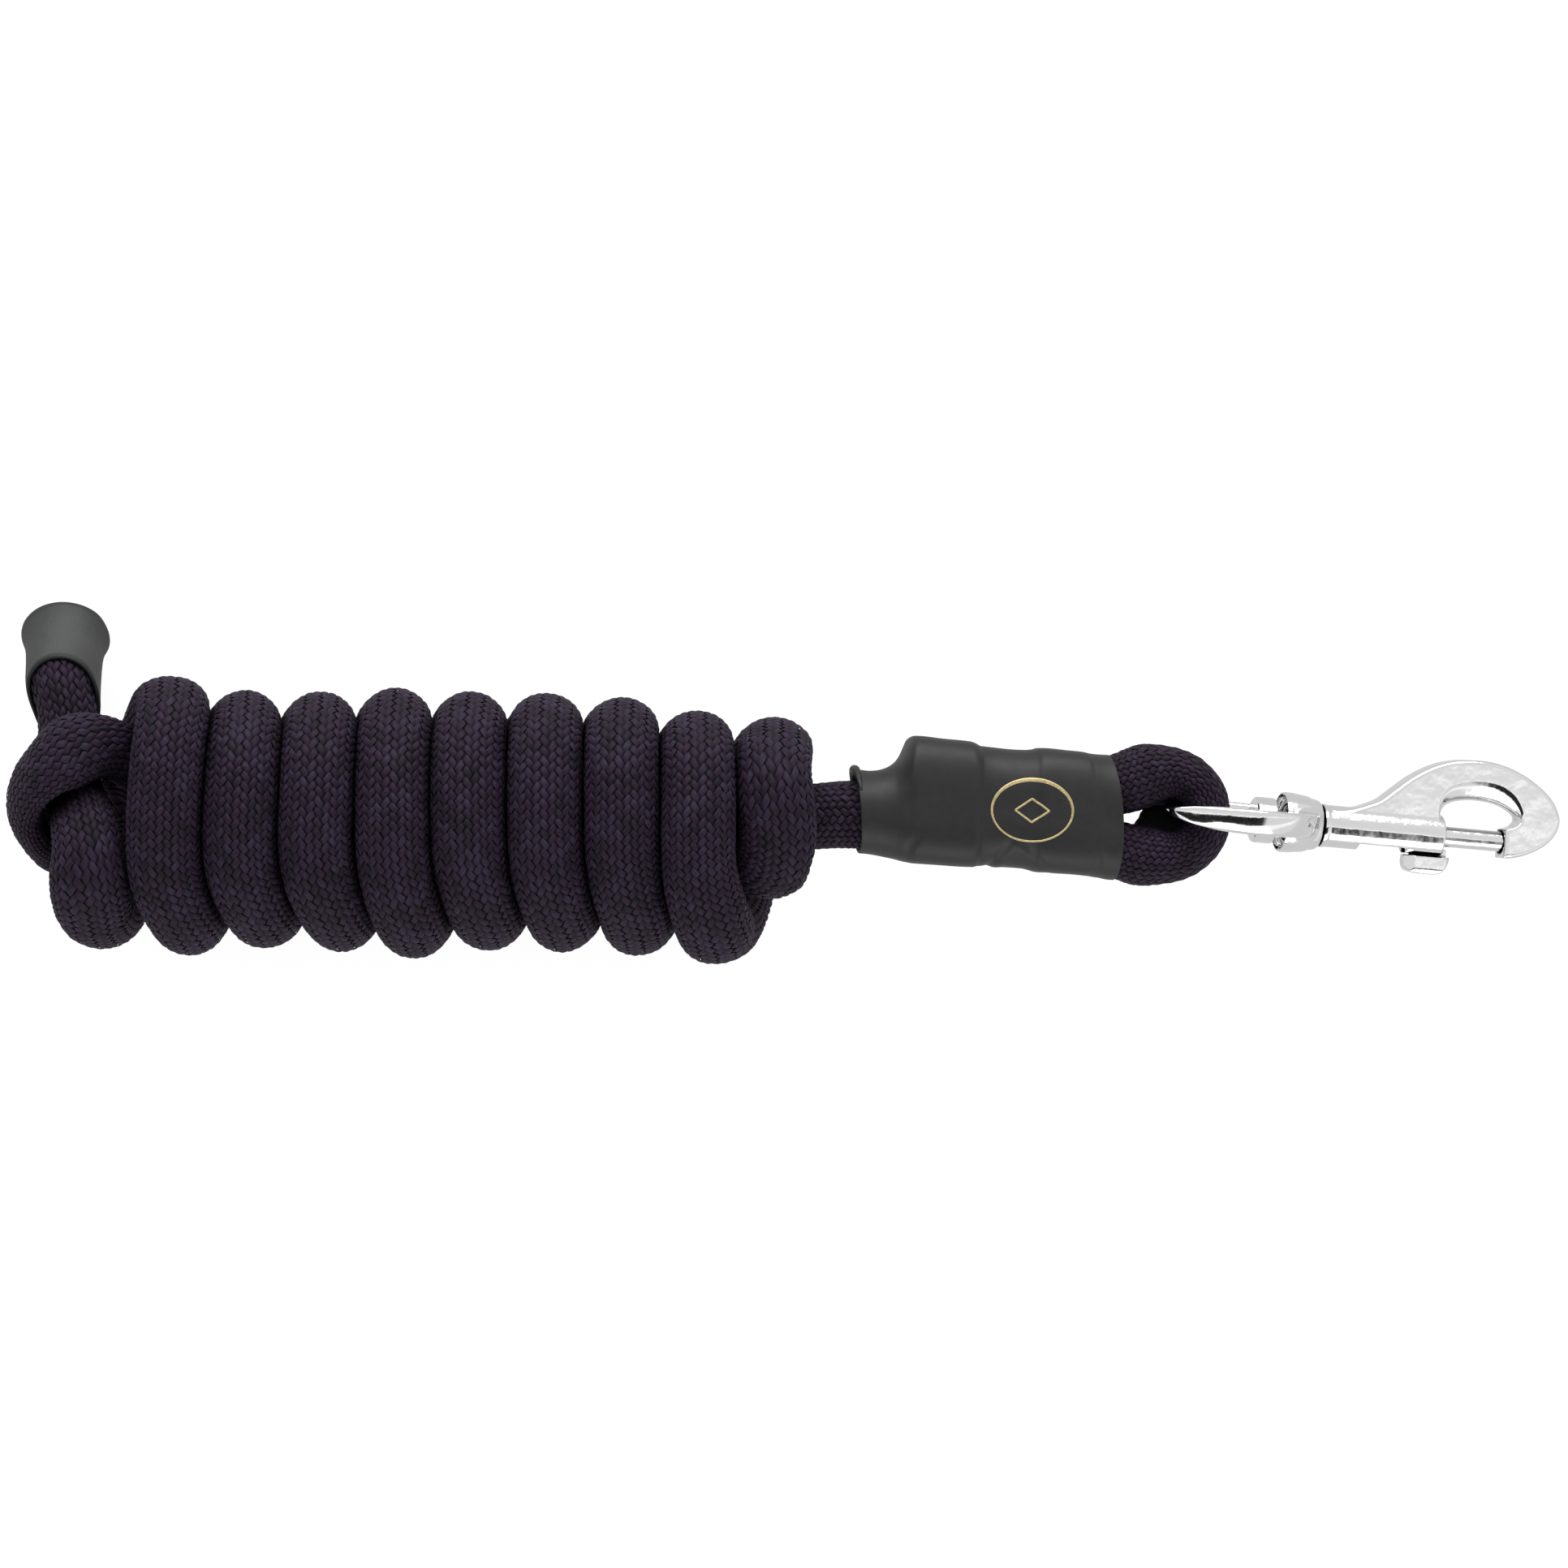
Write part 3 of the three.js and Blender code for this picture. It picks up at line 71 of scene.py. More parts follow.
# Rope path from the snap to the tail.
# centre x, y, z, half thickness, half width, thickness direction x, y, z
STATIONS = np.array([
[33.8, 4.42, 29.44, 7, 10.3, 0.11, 0.99, -0.01],
[48.09, 2.85, 27.86, 7, 10.3, 0.1, 0.99, -0.01],
[61.91, 1.44, 26.34, 7.18, 10.3, 0.1, 1, -0.01],
[75.75, 0.12, 24.82, 7, 10.3, 0.09, 1, -0.01],
[89.61, -1.09, 23.31, 7.34, 10.18, -0.05, 1, 0.01],
[96.23, 0.49, 22.6, 7.82, 9.97, -0.37, 0.93, 0.05],
[100.88, 2.44, 22.12, 7.63, 9.86, -0.31, 0.95, 0.05],
[105.72, 3.27, 21.75, 6.96, 9.78, 0.05, 1, 0.02],
[110.34, 1.85, 21.59, 6.4, 9.67, 0.52, 0.85, 0],
[113.55, -1.23, 21.58, 5.87, 9.54, 0.82, 0.57, 0],
[115.59, -6.32, 21.6, 5.46, 9.38, 0.99, 0.17, 0],
[115.6, -10.83, 21.6, 5.44, 9.37, 0.99, -0.17, 0],
[113.76, -15.43, 21.58, 5.85, 9.53, 0.83, -0.56, 0],
[110.13, -18.76, 21.59, 6.45, 9.68, 0.49, -0.87, 0],
[105.92, -20.09, 21.73, 6.93, 9.77, 0.12, -0.99, 0.02],
[100.51, -19.67, 22.15, 7.64, 9.87, -0.23, -0.97, 0.04],
[88.91, -16.75, 23.38, 7.29, 10.2, -0.14, -0.99, 0.02],
[75.06, -15.45, 24.89, 7, 10.3, -0.09, -1, 0.01],
[61.2, -14.2, 26.41, 7.16, 10.3, -0.09, -1, 0.01],
[47.34, -12.91, 27.91, 7, 10.3, -0.09, -1, 0.01],
[33.54, -11.34, 29.39, 7.45, 9.96, -0.22, -0.97, 0.02],
[19.89, -8.46, 30.28, 9.23, 9.45, -0.08, -1, 0],
[5.52, -9.05, 30.42, 8.84, 9.9, 0.08, -0.97, 0.24],
[-8.16, -9.14, 32.36, 7.06, 10.35, 0.02, -0.9, 0.43],
[-21.7, -7.32, 34.79, 6.6, 10.2, -0.1, -0.88, 0.46],
[-35.36, -4.74, 34.55, 6.69, 10.2, -0.22, -0.9, 0.37],
[-48.85, -1.95, 32.6, 7.2, 10.2, -0.22, -0.95, 0.22],
[-62.23, -1.42, 31.74, 7.5, 10.2, 0.06, -0.98, 0.2],
[-76.28, -1.77, 31.76, 7.5, 10.2, 0.01, -0.98, 0.2],
[-90.31, -1.9, 31.69, 7.5, 10.2, 0, -0.98, 0.2],
[-104.31, -1.95, 31.61, 7.5, 10.2, 0, -0.98, 0.2],
[-118.27, -1.98, 31.55, 7.5, 10.2, 0, -0.98, 0.2],
[-132.17, -1.94, 31.59, 7.5, 10.2, 0, -0.98, 0.2],
[-145.96, -1.71, 31.4, 7.5, 10.2, -0.05, -0.98, 0.19],
[-160.09, -2.12, 31.07, 7.13, 9.91, 0.01, -1, 0.05],
[-166.84, -1.1, 31.22, 6.8, 9.6, -0.33, -0.94, 0.02],
[-172.45, 2.01, 32.43, 6.5, 9.27, -0.45, -0.81, 0.36],
[-176.47, 5.54, 35.66, 6.06, 8.71, -0.08, -0.83, 0.56],
[-180.61, 8.7, 42.08, 5.85, 8.81, 0.48, -0.71, 0.52],
[-184.68, 9.69, 47.69, 5.79, 9.22, 0.69, -0.34, 0.63],
[-188.28, 9.43, 50.76, 5.83, 9.72, 0.54, -0.07, 0.84],
[-192.5, 8.27, 52.32, 5.75, 10.01, 0.06, 0.23, 0.97],
[-196.73, 6.31, 51.98, 5.66, 10.26, -0.45, 0.36, 0.82],
[-201.58, 2.84, 49.4, 5.53, 10.53, -0.74, 0.36, 0.57],
[-205.56, -1.67, 45.28, 5.35, 10.51, -0.9, 0.2, 0.39],
[-207.17, -6.46, 39.96, 5.35, 10.65, -0.99, -0.13, 0.11],
[-205.89, -11.59, 33.83, 5.72, 10.99, -0.9, -0.43, 0],
[-203.99, -14.35, 31.07, 6.29, 11, -0.73, -0.69, -0.01],
[-200.45, -16.77, 29.06, 6.99, 10.86, -0.39, -0.92, -0.02],
[-195.73, -17.99, 28.52, 7.45, 10.51, -0.12, -0.99, 0],
[-188.56, -18.33, 29.52, 7.74, 10.26, -0.01, -1, 0],
[-174.72, -18.34, 31.32, 7.58, 10.2, 0.01, -1, 0],
[-160.63, -17.82, 31.03, 7.5, 10.2, 0.05, -0.99, 0.12],
[-146.34, -17.67, 30.67, 7.5, 10.2, -0.01, -0.98, 0.2],
[-132.72, -17.76, 30.66, 7.5, 10.2, -0.01, -0.98, 0.2],
[-118.66, -17.79, 30.69, 7.5, 10.2, 0, -0.98, 0.2],
[-104.63, -17.78, 30.69, 7.5, 10.2, 0, -0.98, 0.2],
[-90.62, -17.75, 30.76, 7.5, 10.2, 0, -0.98, 0.2],
[-76.63, -17.79, 30.93, 7.5, 10.2, -0.02, -0.98, 0.2],
[-62.66, -18.06, 31.18, 7.5, 10.2, -0.03, -0.98, 0.2],
[-48.8, -19.07, 30.21, 7.12, 10.2, -0.08, -0.96, 0.28],
[-35.04, -21.4, 29.17, 6.62, 10.12, -0.17, -0.91, 0.38],
[-21.26, -23.39, 30.1, 6.92, 10.2, -0.13, -0.97, 0.2],
[-11.61, -24.11, 35.18, 7.78, 10.04, -0.07, -0.99, 0.07],
[-6.99, -23.48, 39.78, 8.21, 10.2, -0.3, -0.79, 0.53],
[-3.5, -20.62, 44.57, 8.56, 10.34, -0.27, -0.63, 0.73],
[-1.81, -15.97, 48.33, 8.82, 10.39, -0.08, -0.51, 0.86],
[-1.76, -8.64, 51.37, 9.21, 10.23, 0.02, -0.22, 0.97],
[-2.17, -3.87, 51.9, 9.36, 10.17, 0, 0.04, 1],
[-2.55, 0.61, 50.88, 9.46, 10.12, -0.03, 0.44, 0.9],
[-2.77, 4.36, 47.66, 9.54, 10.04, -0.01, 0.82, 0.58],
[-2.76, 6.87, 42.63, 9.59, 9.96, 0, 0.94, 0.34],
[-3.14, 8.96, 31.7, 9.69, 9.82, -0.02, 1, 0.01],
[-5.09, 7.01, 22.34, 9.7, 9.8, -0.46, -0.76, 0.46],
[-7.15, 2.32, 15.68, 9.7, 9.8, -0.21, -0.62, 0.75],
[-9.08, -4.83, 11.53, 9.7, 9.8, -0.07, -0.32, 0.95],
[-11.22, -15.83, 9.7, 9.7, 9.8, 0, -0.02, 1],
[-13.86, -29.52, 11.79, 9.7, 9.8, 0.08, 0.35, 0.93],
[-15.53, -35.67, 15.74, 9.7, 9.8, 0.22, 0.65, 0.73],
[-17.39, -39.78, 22.32, 9.69, 9.81, 0.52, 0.76, 0.39],
[-19.03, -41.16, 31.3, 9.61, 9.89, 0.99, -0.02, 0.11],
[-19.69, -39.8, 40.51, 9.6, 9.9, 0.23, -0.92, 0.33],
[-20.85, -35.57, 47.44, 9.6, 9.9, 0.18, -0.69, 0.71],
[-22.29, -28.22, 52.56, 9.6, 9.9, 0.05, -0.41, 0.91],
[-22.88, -17.62, 55.29, 9.6, 9.9, 0, -0.11, 0.99],
[-22.83, -3.39, 54.85, 9.6, 9.9, 0, 0.22, 0.97],
[-22.95, 3.22, 52.2, 9.6, 9.9, -0.02, 0.53, 0.85],
[-23.21, 8.41, 46.95, 9.6, 9.9, -0.07, 0.85, 0.52],
[-23.48, 10.73, 40.47, 9.61, 9.89, -0.13, 0.98, 0.16],
[-24.36, 10.62, 31.26, 9.7, 9.8, -0.09, 0.99, -0.12],
[-26.89, 7.32, 21.05, 9.7, 9.8, -0.39, -0.74, 0.55],
[-29.26, 1.15, 14.36, 9.7, 9.8, -0.16, -0.52, 0.84],
[-31.34, -7.32, 10.81, 9.7, 9.8, -0.05, -0.22, 0.97],
[-34.04, -20.83, 9.54, 9.62, 9.72, 0, 0, 1],
[-35.29, -27.12, 10.07, 9.62, 9.72, 0.04, 0.2, 0.98],
[-36.6, -32.52, 12.53, 9.67, 9.77, 0.16, 0.57, 0.8],
[-37.91, -36.35, 17.06, 9.7, 9.8, 0.34, 0.79, 0.51],
[-39.23, -38.41, 23.81, 9.67, 9.83, 0.81, 0.56, 0.18],
[-39.89, -37.78, 33.31, 9.6, 9.9, 0.01, -0.98, 0.21],
[-40.39, -34.52, 41.86, 9.6, 9.9, 0.21, -0.82, 0.53],
[-42.06, -28.31, 48.5, 9.6, 9.9, 0.13, -0.56, 0.82],
[-43.31, -18.52, 52.86, 9.6, 9.9, 0.01, -0.23, 0.97],
[-43.46, -4.74, 54.11, 9.6, 9.9, 0, 0.05, 1],
[-43.53, 3.43, 52.6, 9.6, 9.9, 0, 0.35, 0.94],
[-43.62, 9.42, 48.83, 9.6, 9.9, -0.02, 0.71, 0.71],
[-43.71, 13.31, 42.82, 9.6, 9.9, -0.01, 0.93, 0.37],
[-43.94, 14.91, 34.09, 9.68, 9.82, -0.03, 1, 0.02],
[-46.06, 13.25, 23.43, 9.7, 9.8, -0.59, -0.68, 0.43],
[-48.41, 8.57, 16.26, 9.7, 9.8, -0.24, -0.63, 0.74],
[-50.54, 1.3, 11.83, 9.7, 9.8, -0.08, -0.33, 0.94],
[-52.82, -10.09, 9.69, 9.7, 9.8, -0.01, -0.05, 1],
[-55.36, -23.45, 11.17, 9.7, 9.8, 0.06, 0.29, 0.96],
[-56.94, -29.88, 14.66, 9.7, 9.8, 0.18, 0.61, 0.77],
[-58.56, -34.25, 20.56, 9.7, 9.8, 0.41, 0.79, 0.45],
[-60.01, -36, 28.81, 9.63, 9.87, 0.98, 0.19, 0.1],
[-60.55, -34.42, 38.89, 9.6, 9.9, 0.2, -0.92, 0.34],
[-61.94, -29.91, 46.16, 9.59, 9.89, 0.2, -0.67, 0.71],
[-63.55, -22.36, 51.14, 9.6, 9.9, 0.05, -0.37, 0.93],
[-64.06, -12.38, 53.24, 9.6, 9.9, 0, -0.07, 1],
[-64.11, 1.41, 52.24, 9.6, 9.9, 0, 0.27, 0.96],
[-64.21, 8.78, 48.79, 9.6, 9.9, -0.01, 0.6, 0.8],
[-64.35, 13.75, 43.09, 9.6, 9.9, -0.03, 0.88, 0.48],
[-64.44, 16, 35.8, 9.65, 9.85, -0.03, 0.99, 0.12],
[-65.78, 15.46, 26.19, 9.7, 9.8, -0.69, 0.73, 0],
[-68.21, 11.67, 18.11, 9.7, 9.8, -0.31, -0.69, 0.65],
[-70.53, 5.12, 12.84, 9.7, 9.8, -0.12, -0.41, 0.9],
[-72.65, -4.01, 10.17, 9.7, 9.8, -0.03, -0.14, 0.99],
[-75.27, -17.97, 10.18, 9.7, 9.8, 0.03, 0.14, 0.99],
[-76.83, -26, 12.58, 9.7, 9.8, 0.1, 0.43, 0.9],
[-78.35, -31.65, 17.18, 9.7, 9.8, 0.24, 0.73, 0.64],
[-79.88, -35.01, 24.23, 9.68, 9.82, 0.58, 0.76, 0.28],
[-80.74, -35.41, 33.2, 9.6, 9.9, 0.16, -0.98, 0.12],
[-81.17, -33.25, 40.94, 9.59, 9.89, 0.25, -0.86, 0.45],
[-82.57, -28.73, 46.87, 9.59, 9.89, 0.18, -0.62, 0.76],
[-84.21, -20.48, 51.52, 9.6, 9.9, 0.03, -0.3, 0.95],
[-84.67, -10.01, 53.11, 9.6, 9.9, 0, -0.03, 1],
[-84.83, 3.88, 51.14, 9.6, 9.9, 0, 0.37, 0.93],
[-84.83, 10.2, 47.17, 9.6, 9.9, 0, 0.69, 0.72],
[-84.79, 14.33, 40.96, 9.6, 9.9, 0.01, 0.93, 0.37],
[-85.05, 15.89, 33.07, 9.68, 9.82, -0.02, 1, 0.04],
[-87.26, 14.57, 23.29, 9.7, 9.8, -0.67, -0.61, 0.42],
[-89.66, 10.14, 16.36, 9.7, 9.8, -0.25, -0.62, 0.74],
[-91.82, 3.11, 12.01, 9.7, 9.8, -0.08, -0.33, 0.94],
[-94.05, -8.05, 9.81, 9.7, 9.8, -0.01, -0.07, 1],
[-96.32, -21.38, 10.72, 9.7, 9.8, 0.03, 0.21, 0.98],
[-97.8, -29.19, 13.74, 9.7, 9.8, 0.11, 0.51, 0.85],
[-99.26, -34.74, 19.27, 9.7, 9.8, 0.26, 0.79, 0.55],
[-100.43, -37.29, 26.22, 9.66, 9.84, 0.6, 0.78, 0.2],
[-100.92, -37.12, 35.77, 9.6, 9.9, 0.13, -0.97, 0.18],
[-101.55, -34.55, 42.77, 9.6, 9.9, 0.25, -0.81, 0.54],
[-103.02, -29.51, 48.15, 9.6, 9.9, 0.14, -0.56, 0.82],
[-104.51, -20.93, 52.03, 9.6, 9.9, 0.02, -0.24, 0.97],
[-104.85, -8.39, 53.15, 9.6, 9.9, 0, 0.02, 1],
[-104.91, 4.85, 50.54, 9.6, 9.9, 0, 0.41, 0.91],
[-104.93, 11.38, 45.96, 9.6, 9.9, -0.01, 0.73, 0.68],
[-105.06, 15.24, 39.57, 9.61, 9.89, -0.06, 0.94, 0.33],
[-105.83, 16.55, 31.17, 9.69, 9.81, -0.05, 1, 0],
[-108.12, 15.06, 22.48, 9.7, 9.8, -0.55, -0.7, 0.45],
[-110.42, 10.37, 15.71, 9.7, 9.8, -0.22, -0.61, 0.76],
[-112.36, 3.61, 11.79, 9.7, 9.8, -0.07, -0.32, 0.94],
[-114.61, -8.11, 9.73, 9.7, 9.8, -0.01, -0.05, 1],
[-116.83, -21.47, 10.78, 9.7, 9.8, 0.04, 0.22, 0.97],
[-118.19, -28.64, 13.92, 9.7, 9.8, 0.12, 0.56, 0.82],
[-119.47, -33.5, 19.38, 9.7, 9.8, 0.27, 0.82, 0.5],
[-120.47, -35.68, 26.44, 9.65, 9.85, 0.64, 0.76, 0.15],
[-121.02, -35.04, 36.44, 9.6, 9.9, 0.28, -0.93, 0.24],
[-122.35, -31.86, 43.57, 9.6, 9.9, 0.31, -0.73, 0.61],
[-124.48, -25.42, 49.38, 9.6, 9.9, 0.12, -0.48, 0.87],
[-125.58, -16.55, 52.42, 9.6, 9.9, 0, -0.16, 0.99],
[-125.23, -3.45, 52.69, 9.6, 9.9, 0, 0.12, 0.99],
[-125.1, 6.14, 49.77, 9.6, 9.9, 0, 0.49, 0.87],
[-125.2, 11.83, 44.94, 9.6, 9.9, -0.04, 0.79, 0.61],
[-125.59, 15.05, 38.18, 9.61, 9.89, -0.16, 0.95, 0.26],
[-126.95, 15.68, 28.72, 9.7, 9.8, -0.15, 0.99, -0.06],
[-129.43, 13.46, 20.75, 9.7, 9.8, -0.49, -0.69, 0.53],
[-132, 8.1, 14.47, 9.7, 9.8, -0.19, -0.53, 0.82],
[-134.09, 0.42, 10.99, 9.7, 9.8, -0.05, -0.24, 0.97],
[-136.6, -13.13, 9.67, 9.7, 9.8, 0.01, 0.03, 1],
[-138.56, -24.93, 11.8, 9.7, 9.8, 0.07, 0.38, 0.92],
[-139.73, -30.59, 15.7, 9.7, 9.8, 0.17, 0.7, 0.7],
[-140.83, -34.35, 22.05, 9.69, 9.81, 0.36, 0.87, 0.34],
[-141.53, -35.4, 29.95, 9.61, 9.89, 0.82, -0.57, 0.05],
[-141.9, -33.98, 38.36, 9.6, 9.9, 0.29, -0.89, 0.34],
[-143.47, -30.29, 44.75, 9.6, 9.9, 0.28, -0.67, 0.69],
[-145.41, -23.6, 49.81, 9.6, 9.9, 0.07, -0.43, 0.9],
[-145.88, -14.86, 52.34, 9.6, 9.9, 0, -0.14, 0.99],
[-145.38, -0.68, 52.17, 9.6, 9.9, 0, 0.18, 0.98],
[-145.28, 7.3, 49.17, 9.58, 9.88, 0, 0.53, 0.85],
[-145.45, 12.69, 43.99, 9.57, 9.87, -0.07, 0.82, 0.56],
[-146.12, 15.69, 36.61, 9.61, 9.85, -0.17, 0.96, 0.2],
[-148.09, 15.85, 27.25, 9.7, 9.8, -0.36, 0.93, -0.03],
[-150.78, 13.13, 19.59, 9.7, 9.8, -0.42, -0.68, 0.59],
[-153.29, 7.35, 13.84, 9.7, 9.8, -0.16, -0.49, 0.86],
[-155.32, -0.86, 10.73, 9.7, 9.8, -0.04, -0.2, 0.98],
[-157.7, -14.68, 9.82, 9.7, 9.8, 0.01, 0.07, 1],
[-159.78, -28.09, 13.13, 9.7, 9.8, 0.08, 0.46, 0.88],
[-160.91, -33.73, 17.86, 9.7, 9.8, 0.18, 0.76, 0.62],
[-161.83, -36.9, 24.53, 9.68, 9.82, 0.37, 0.89, 0.25],
[-162.23, -37.33, 33.02, 9.6, 9.9, -0.03, -0.99, 0.1],
[-162.54, -35.65, 39.83, 9.6, 9.9, 0.3, -0.86, 0.41],
[-164.24, -31.45, 45.89, 9.6, 9.9, 0.23, -0.63, 0.74],
[-166.05, -23.74, 50.82, 9.6, 9.9, 0.04, -0.38, 0.92],
[-166.12, -12.82, 53.49, 9.6, 9.9, -0.01, -0.12, 0.99],
[-165.47, 0.86, 53.93, 9.6, 9.9, 0, 0.08, 1],
[-164.85, 11.44, 51.5, 9.47, 9.76, 0.03, 0.41, 0.91],
[-164.54, 16.61, 47.93, 9.46, 9.76, 0.01, 0.72, 0.69],
[-164.85, 19.84, 42.66, 9.46, 9.75, -0.25, 0.9, 0.35],
[-165.9, 20.93, 35.95, 9.63, 9.81, -0.12, 0.99, 0.04],
[-169.2, 19.29, 25.69, 9.7, 9.8, -0.9, -0.13, 0.42],
[-172.92, 14.12, 17.44, 9.7, 9.8, -0.3, -0.59, 0.75],
[-176.03, 5.76, 12.24, 9.7, 9.8, -0.09, -0.32, 0.94],
[-178.87, -7.09, 9.79, 9.7, 9.8, -0.01, -0.06, 1],
[-181.35, -20.98, 10.45, 9.7, 9.8, 0.03, 0.2, 0.98],
[-182.74, -28, 13.22, 9.7, 9.8, 0.12, 0.52, 0.85],
[-184.12, -33.28, 18.6, 9.7, 9.8, 0.25, 0.79, 0.56],
[-185.42, -36.1, 26.18, 9.54, 9.8, 0.09, 0.98, 0.15],
[-186.09, -35.53, 34.67, 9.36, 9.88, 0.04, 0.97, -0.25],
[-186.25, -30.61, 45.36, 9.11, 10.11, 0.01, -0.82, 0.57],
[-186.33, -27.44, 49, 8.83, 10.27, 0.02, -0.66, 0.75],
[-186.58, -23.46, 51.42, 8.46, 10.31, 0.03, -0.33, 0.94],
[-187.12, -18.85, 52.01, 7.9, 9.98, 0.02, 0.1, 1],
[-188.17, -13.89, 50.44, 7.35, 9.55, -0.03, 0.47, 0.88],
[-190.06, -8.62, 46.17, 6.84, 9.05, -0.11, 0.71, 0.7],
[-194.01, -0.21, 36.23, 6.31, 8.57, -0.08, 0.67, 0.74],
[-195.76, 8.66, 30.63, 7.12, 9.27, 0, 0.37, 0.93],
[-196.56, 15.92, 28.12, 8.22, 9.27, 0.01, 0.32, 0.95],
[-197.6, 22.64, 24.94, 8.83, 8.93, -0.03, 0.63, 0.78],
[-198.81, 36.48, 11.7, 8.9, 8.9, 0.94, -0.18, -0.28],
])


# ------------------------------------------------------------- curves and blends
def cubic_read(knots, values, slopes, at):
    """Piecewise cubic with the given slopes at its knots, read at `at`."""
    i = np.clip(np.searchsorted(knots, at, side="right") - 1, 0, len(knots) - 2)
    gap = np.diff(knots)[i]
    part = (at - knots[i]) / gap
    if values.ndim == 2:
        gap, part = gap[:, None], part[:, None]
    return (
        values[i] * (1 + 2 * part) * (1 - part) ** 2
        + slopes[i] * gap * part * (1 - part) ** 2
        + values[i + 1] * part * part * (3 - 2 * part)
        + slopes[i + 1] * gap * part * part * (part - 1)
    )


def smooth_curve(knots, rows, at):
    """Smooth cubic through rows of points."""
    gaps = np.diff(knots)
    rise_rate = np.diff(rows, axis=0) / gaps[:, None]
    slopes = np.empty_like(rows)
    weighted = rise_rate[:-1] * gaps[1:, None] + rise_rate[1:] * gaps[:-1, None]
    slopes[1:-1] = weighted / (gaps[:-1] + gaps[1:])[:, None]
    slopes[0], slopes[-1] = rise_rate[0], rise_rate[-1]
    return cubic_read(knots, rows, slopes, at)


def monotone_curve(knots, values, at):
    """Monotone cubic: no overshoot between knots."""
    knots, values = np.asarray(knots, float), np.asarray(values, float)
    gaps = np.diff(knots)
    rate = np.diff(values) / gaps
    slopes = np.zeros_like(values)
    for k in range(1, len(values) - 1):
        if rate[k - 1] * rate[k] > 0:
            before, after = 2 * gaps[k] + gaps[k - 1], gaps[k] + 2 * gaps[k - 1]
            slopes[k] = (before + after) / (before / rate[k - 1] + after / rate[k])
    slopes[0], slopes[-1] = rate[0], rate[-1]
    return cubic_read(knots, values, slopes, at)


def rise(start, end, value):
    """Smooth step from 0 to 1."""
    part = np.clip((value - start) / (end - start), 0, 1)
    return part * part * (3 - 2 * part)


def fall(start, end, value):
    return 1 - rise(start, end, value)


def between(start, full, fade, end, value):
    """Rises over start..full and falls again over fade..end."""
    return rise(start, full, value) * fall(fade, end, value)


def unit(vectors):
    return vectors / np.maximum(np.linalg.norm(vectors, axis=-1, keepdims=True), 1e-12)


def path_length(points):
    """Running length along a line of points."""
    return np.r_[0, np.cumsum(np.linalg.norm(np.diff(points, axis=0), axis=1))]


def bilinear(table, row, col, next_col, row_part, col_part):
    return (
        table[row, col] * (1 - row_part) * (1 - col_part)
        + table[row + 1, col] * row_part * (1 - col_part)
        + table[row, next_col] * (1 - row_part) * col_part
        + table[row + 1, next_col] * row_part * col_part
    )


# ------------------------------------------------------------------- mesh making
def make_mesh(name, verts, faces, mat, body, uv=None, attrs=None, replaces=None,
              normals=None, tidy=False):
    """Smooth mesh from n x 3 layout millimetres and a list of face arrays."""
    mesh = bpy.data.meshes.new(name)
    places = ((np.asarray(verts, float) + LAYOUT_SHIFT) * MM).astype(np.float32)
    groups = [np.asarray(group, dtype=np.int32) for group in faces]
    loops = np.concatenate([group.ravel() for group in groups])
    sizes = np.concatenate([np.full(len(group), group.shape[1], np.int32) for group in groups])
    starts = np.concatenate([[0], np.cumsum(sizes)[:-1]]).astype(np.int32)
    mesh.vertices.add(len(places))
    mesh.vertices.foreach_set("co", places.ravel())
    mesh.loops.add(len(loops))
    mesh.loops.foreach_set("vertex_index", loops)
    mesh.polygons.add(len(sizes))
    mesh.polygons.foreach_set("loop_start", starts)
    mesh.polygons.foreach_set("use_smooth", np.ones(len(sizes), bool))
    mesh.update(calc_edges=True)
    for layer_name, data in (uv or {}).items():
        layer = mesh.uv_layers.new(name=layer_name)
        layer.data.foreach_set("uv", np.asarray(data, np.float32)[loops].ravel())
    for attr_name, data in (attrs or {}).items():
        attribute = mesh.attributes.new(attr_name, "FLOAT", "POINT")
        attribute.data.foreach_set("value", np.asarray(data, np.float32))
    if normals is not None:
        mesh.normals_split_custom_set_from_vertices(normals.tolist())
    mesh.validate()
    if tidy:
        work = bmesh.new()
        work.from_mesh(mesh)
        bmesh.ops.recalc_face_normals(work, faces=work.faces)
        work.to_mesh(mesh)
        work.free()
    piece = bpy.data.objects.new(name, mesh)
    bpy.context.scene.collection.objects.link(piece)
    mesh.materials.append(mat)
    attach(piece, body)
    if replaces:
        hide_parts(replaces)
    return piece


def grid_faces(rows, cols, wrap_rows=False, wrap_cols=False, flip=False):
    """Quads of a grid of vertices, index row * cols + col."""
    row, col = np.meshgrid(
        np.arange(rows if wrap_rows else rows - 1),
        np.arange(cols if wrap_cols else cols - 1), indexing="ij")
    row, col = row.ravel(), col.ravel()
    row2, col2 = (row + 1) % rows, (col + 1) % cols
    quads = np.stack(
        [row * cols + col, row2 * cols + col, row2 * cols + col2, row * cols + col2], 1)
    return quads[:, ::-1] if flip else quads


def cap_fans(start_ring, end_ring, hub, flip=False):
    """Triangles closing both ends of a tube onto vertices hub and hub + 1."""
    fans = [
        np.stack([np.full(len(start_ring), hub), np.roll(start_ring, -1), start_ring], 1),
        np.stack([np.full(len(end_ring), hub + 1), end_ring, np.roll(end_ring, -1)], 1),
    ]
    return [fan[:, [0, 2, 1]] for fan in fans] if flip else fans


def tube_faces(rings, around):
    """Faces of a capped tube; its two hub vertices follow the rings."""
    ring = np.arange(around)
    fans = cap_fans(ring, (rings - 1) * around + ring, rings * around)
    return [grid_faces(rings, around, wrap_cols=True)] + fans


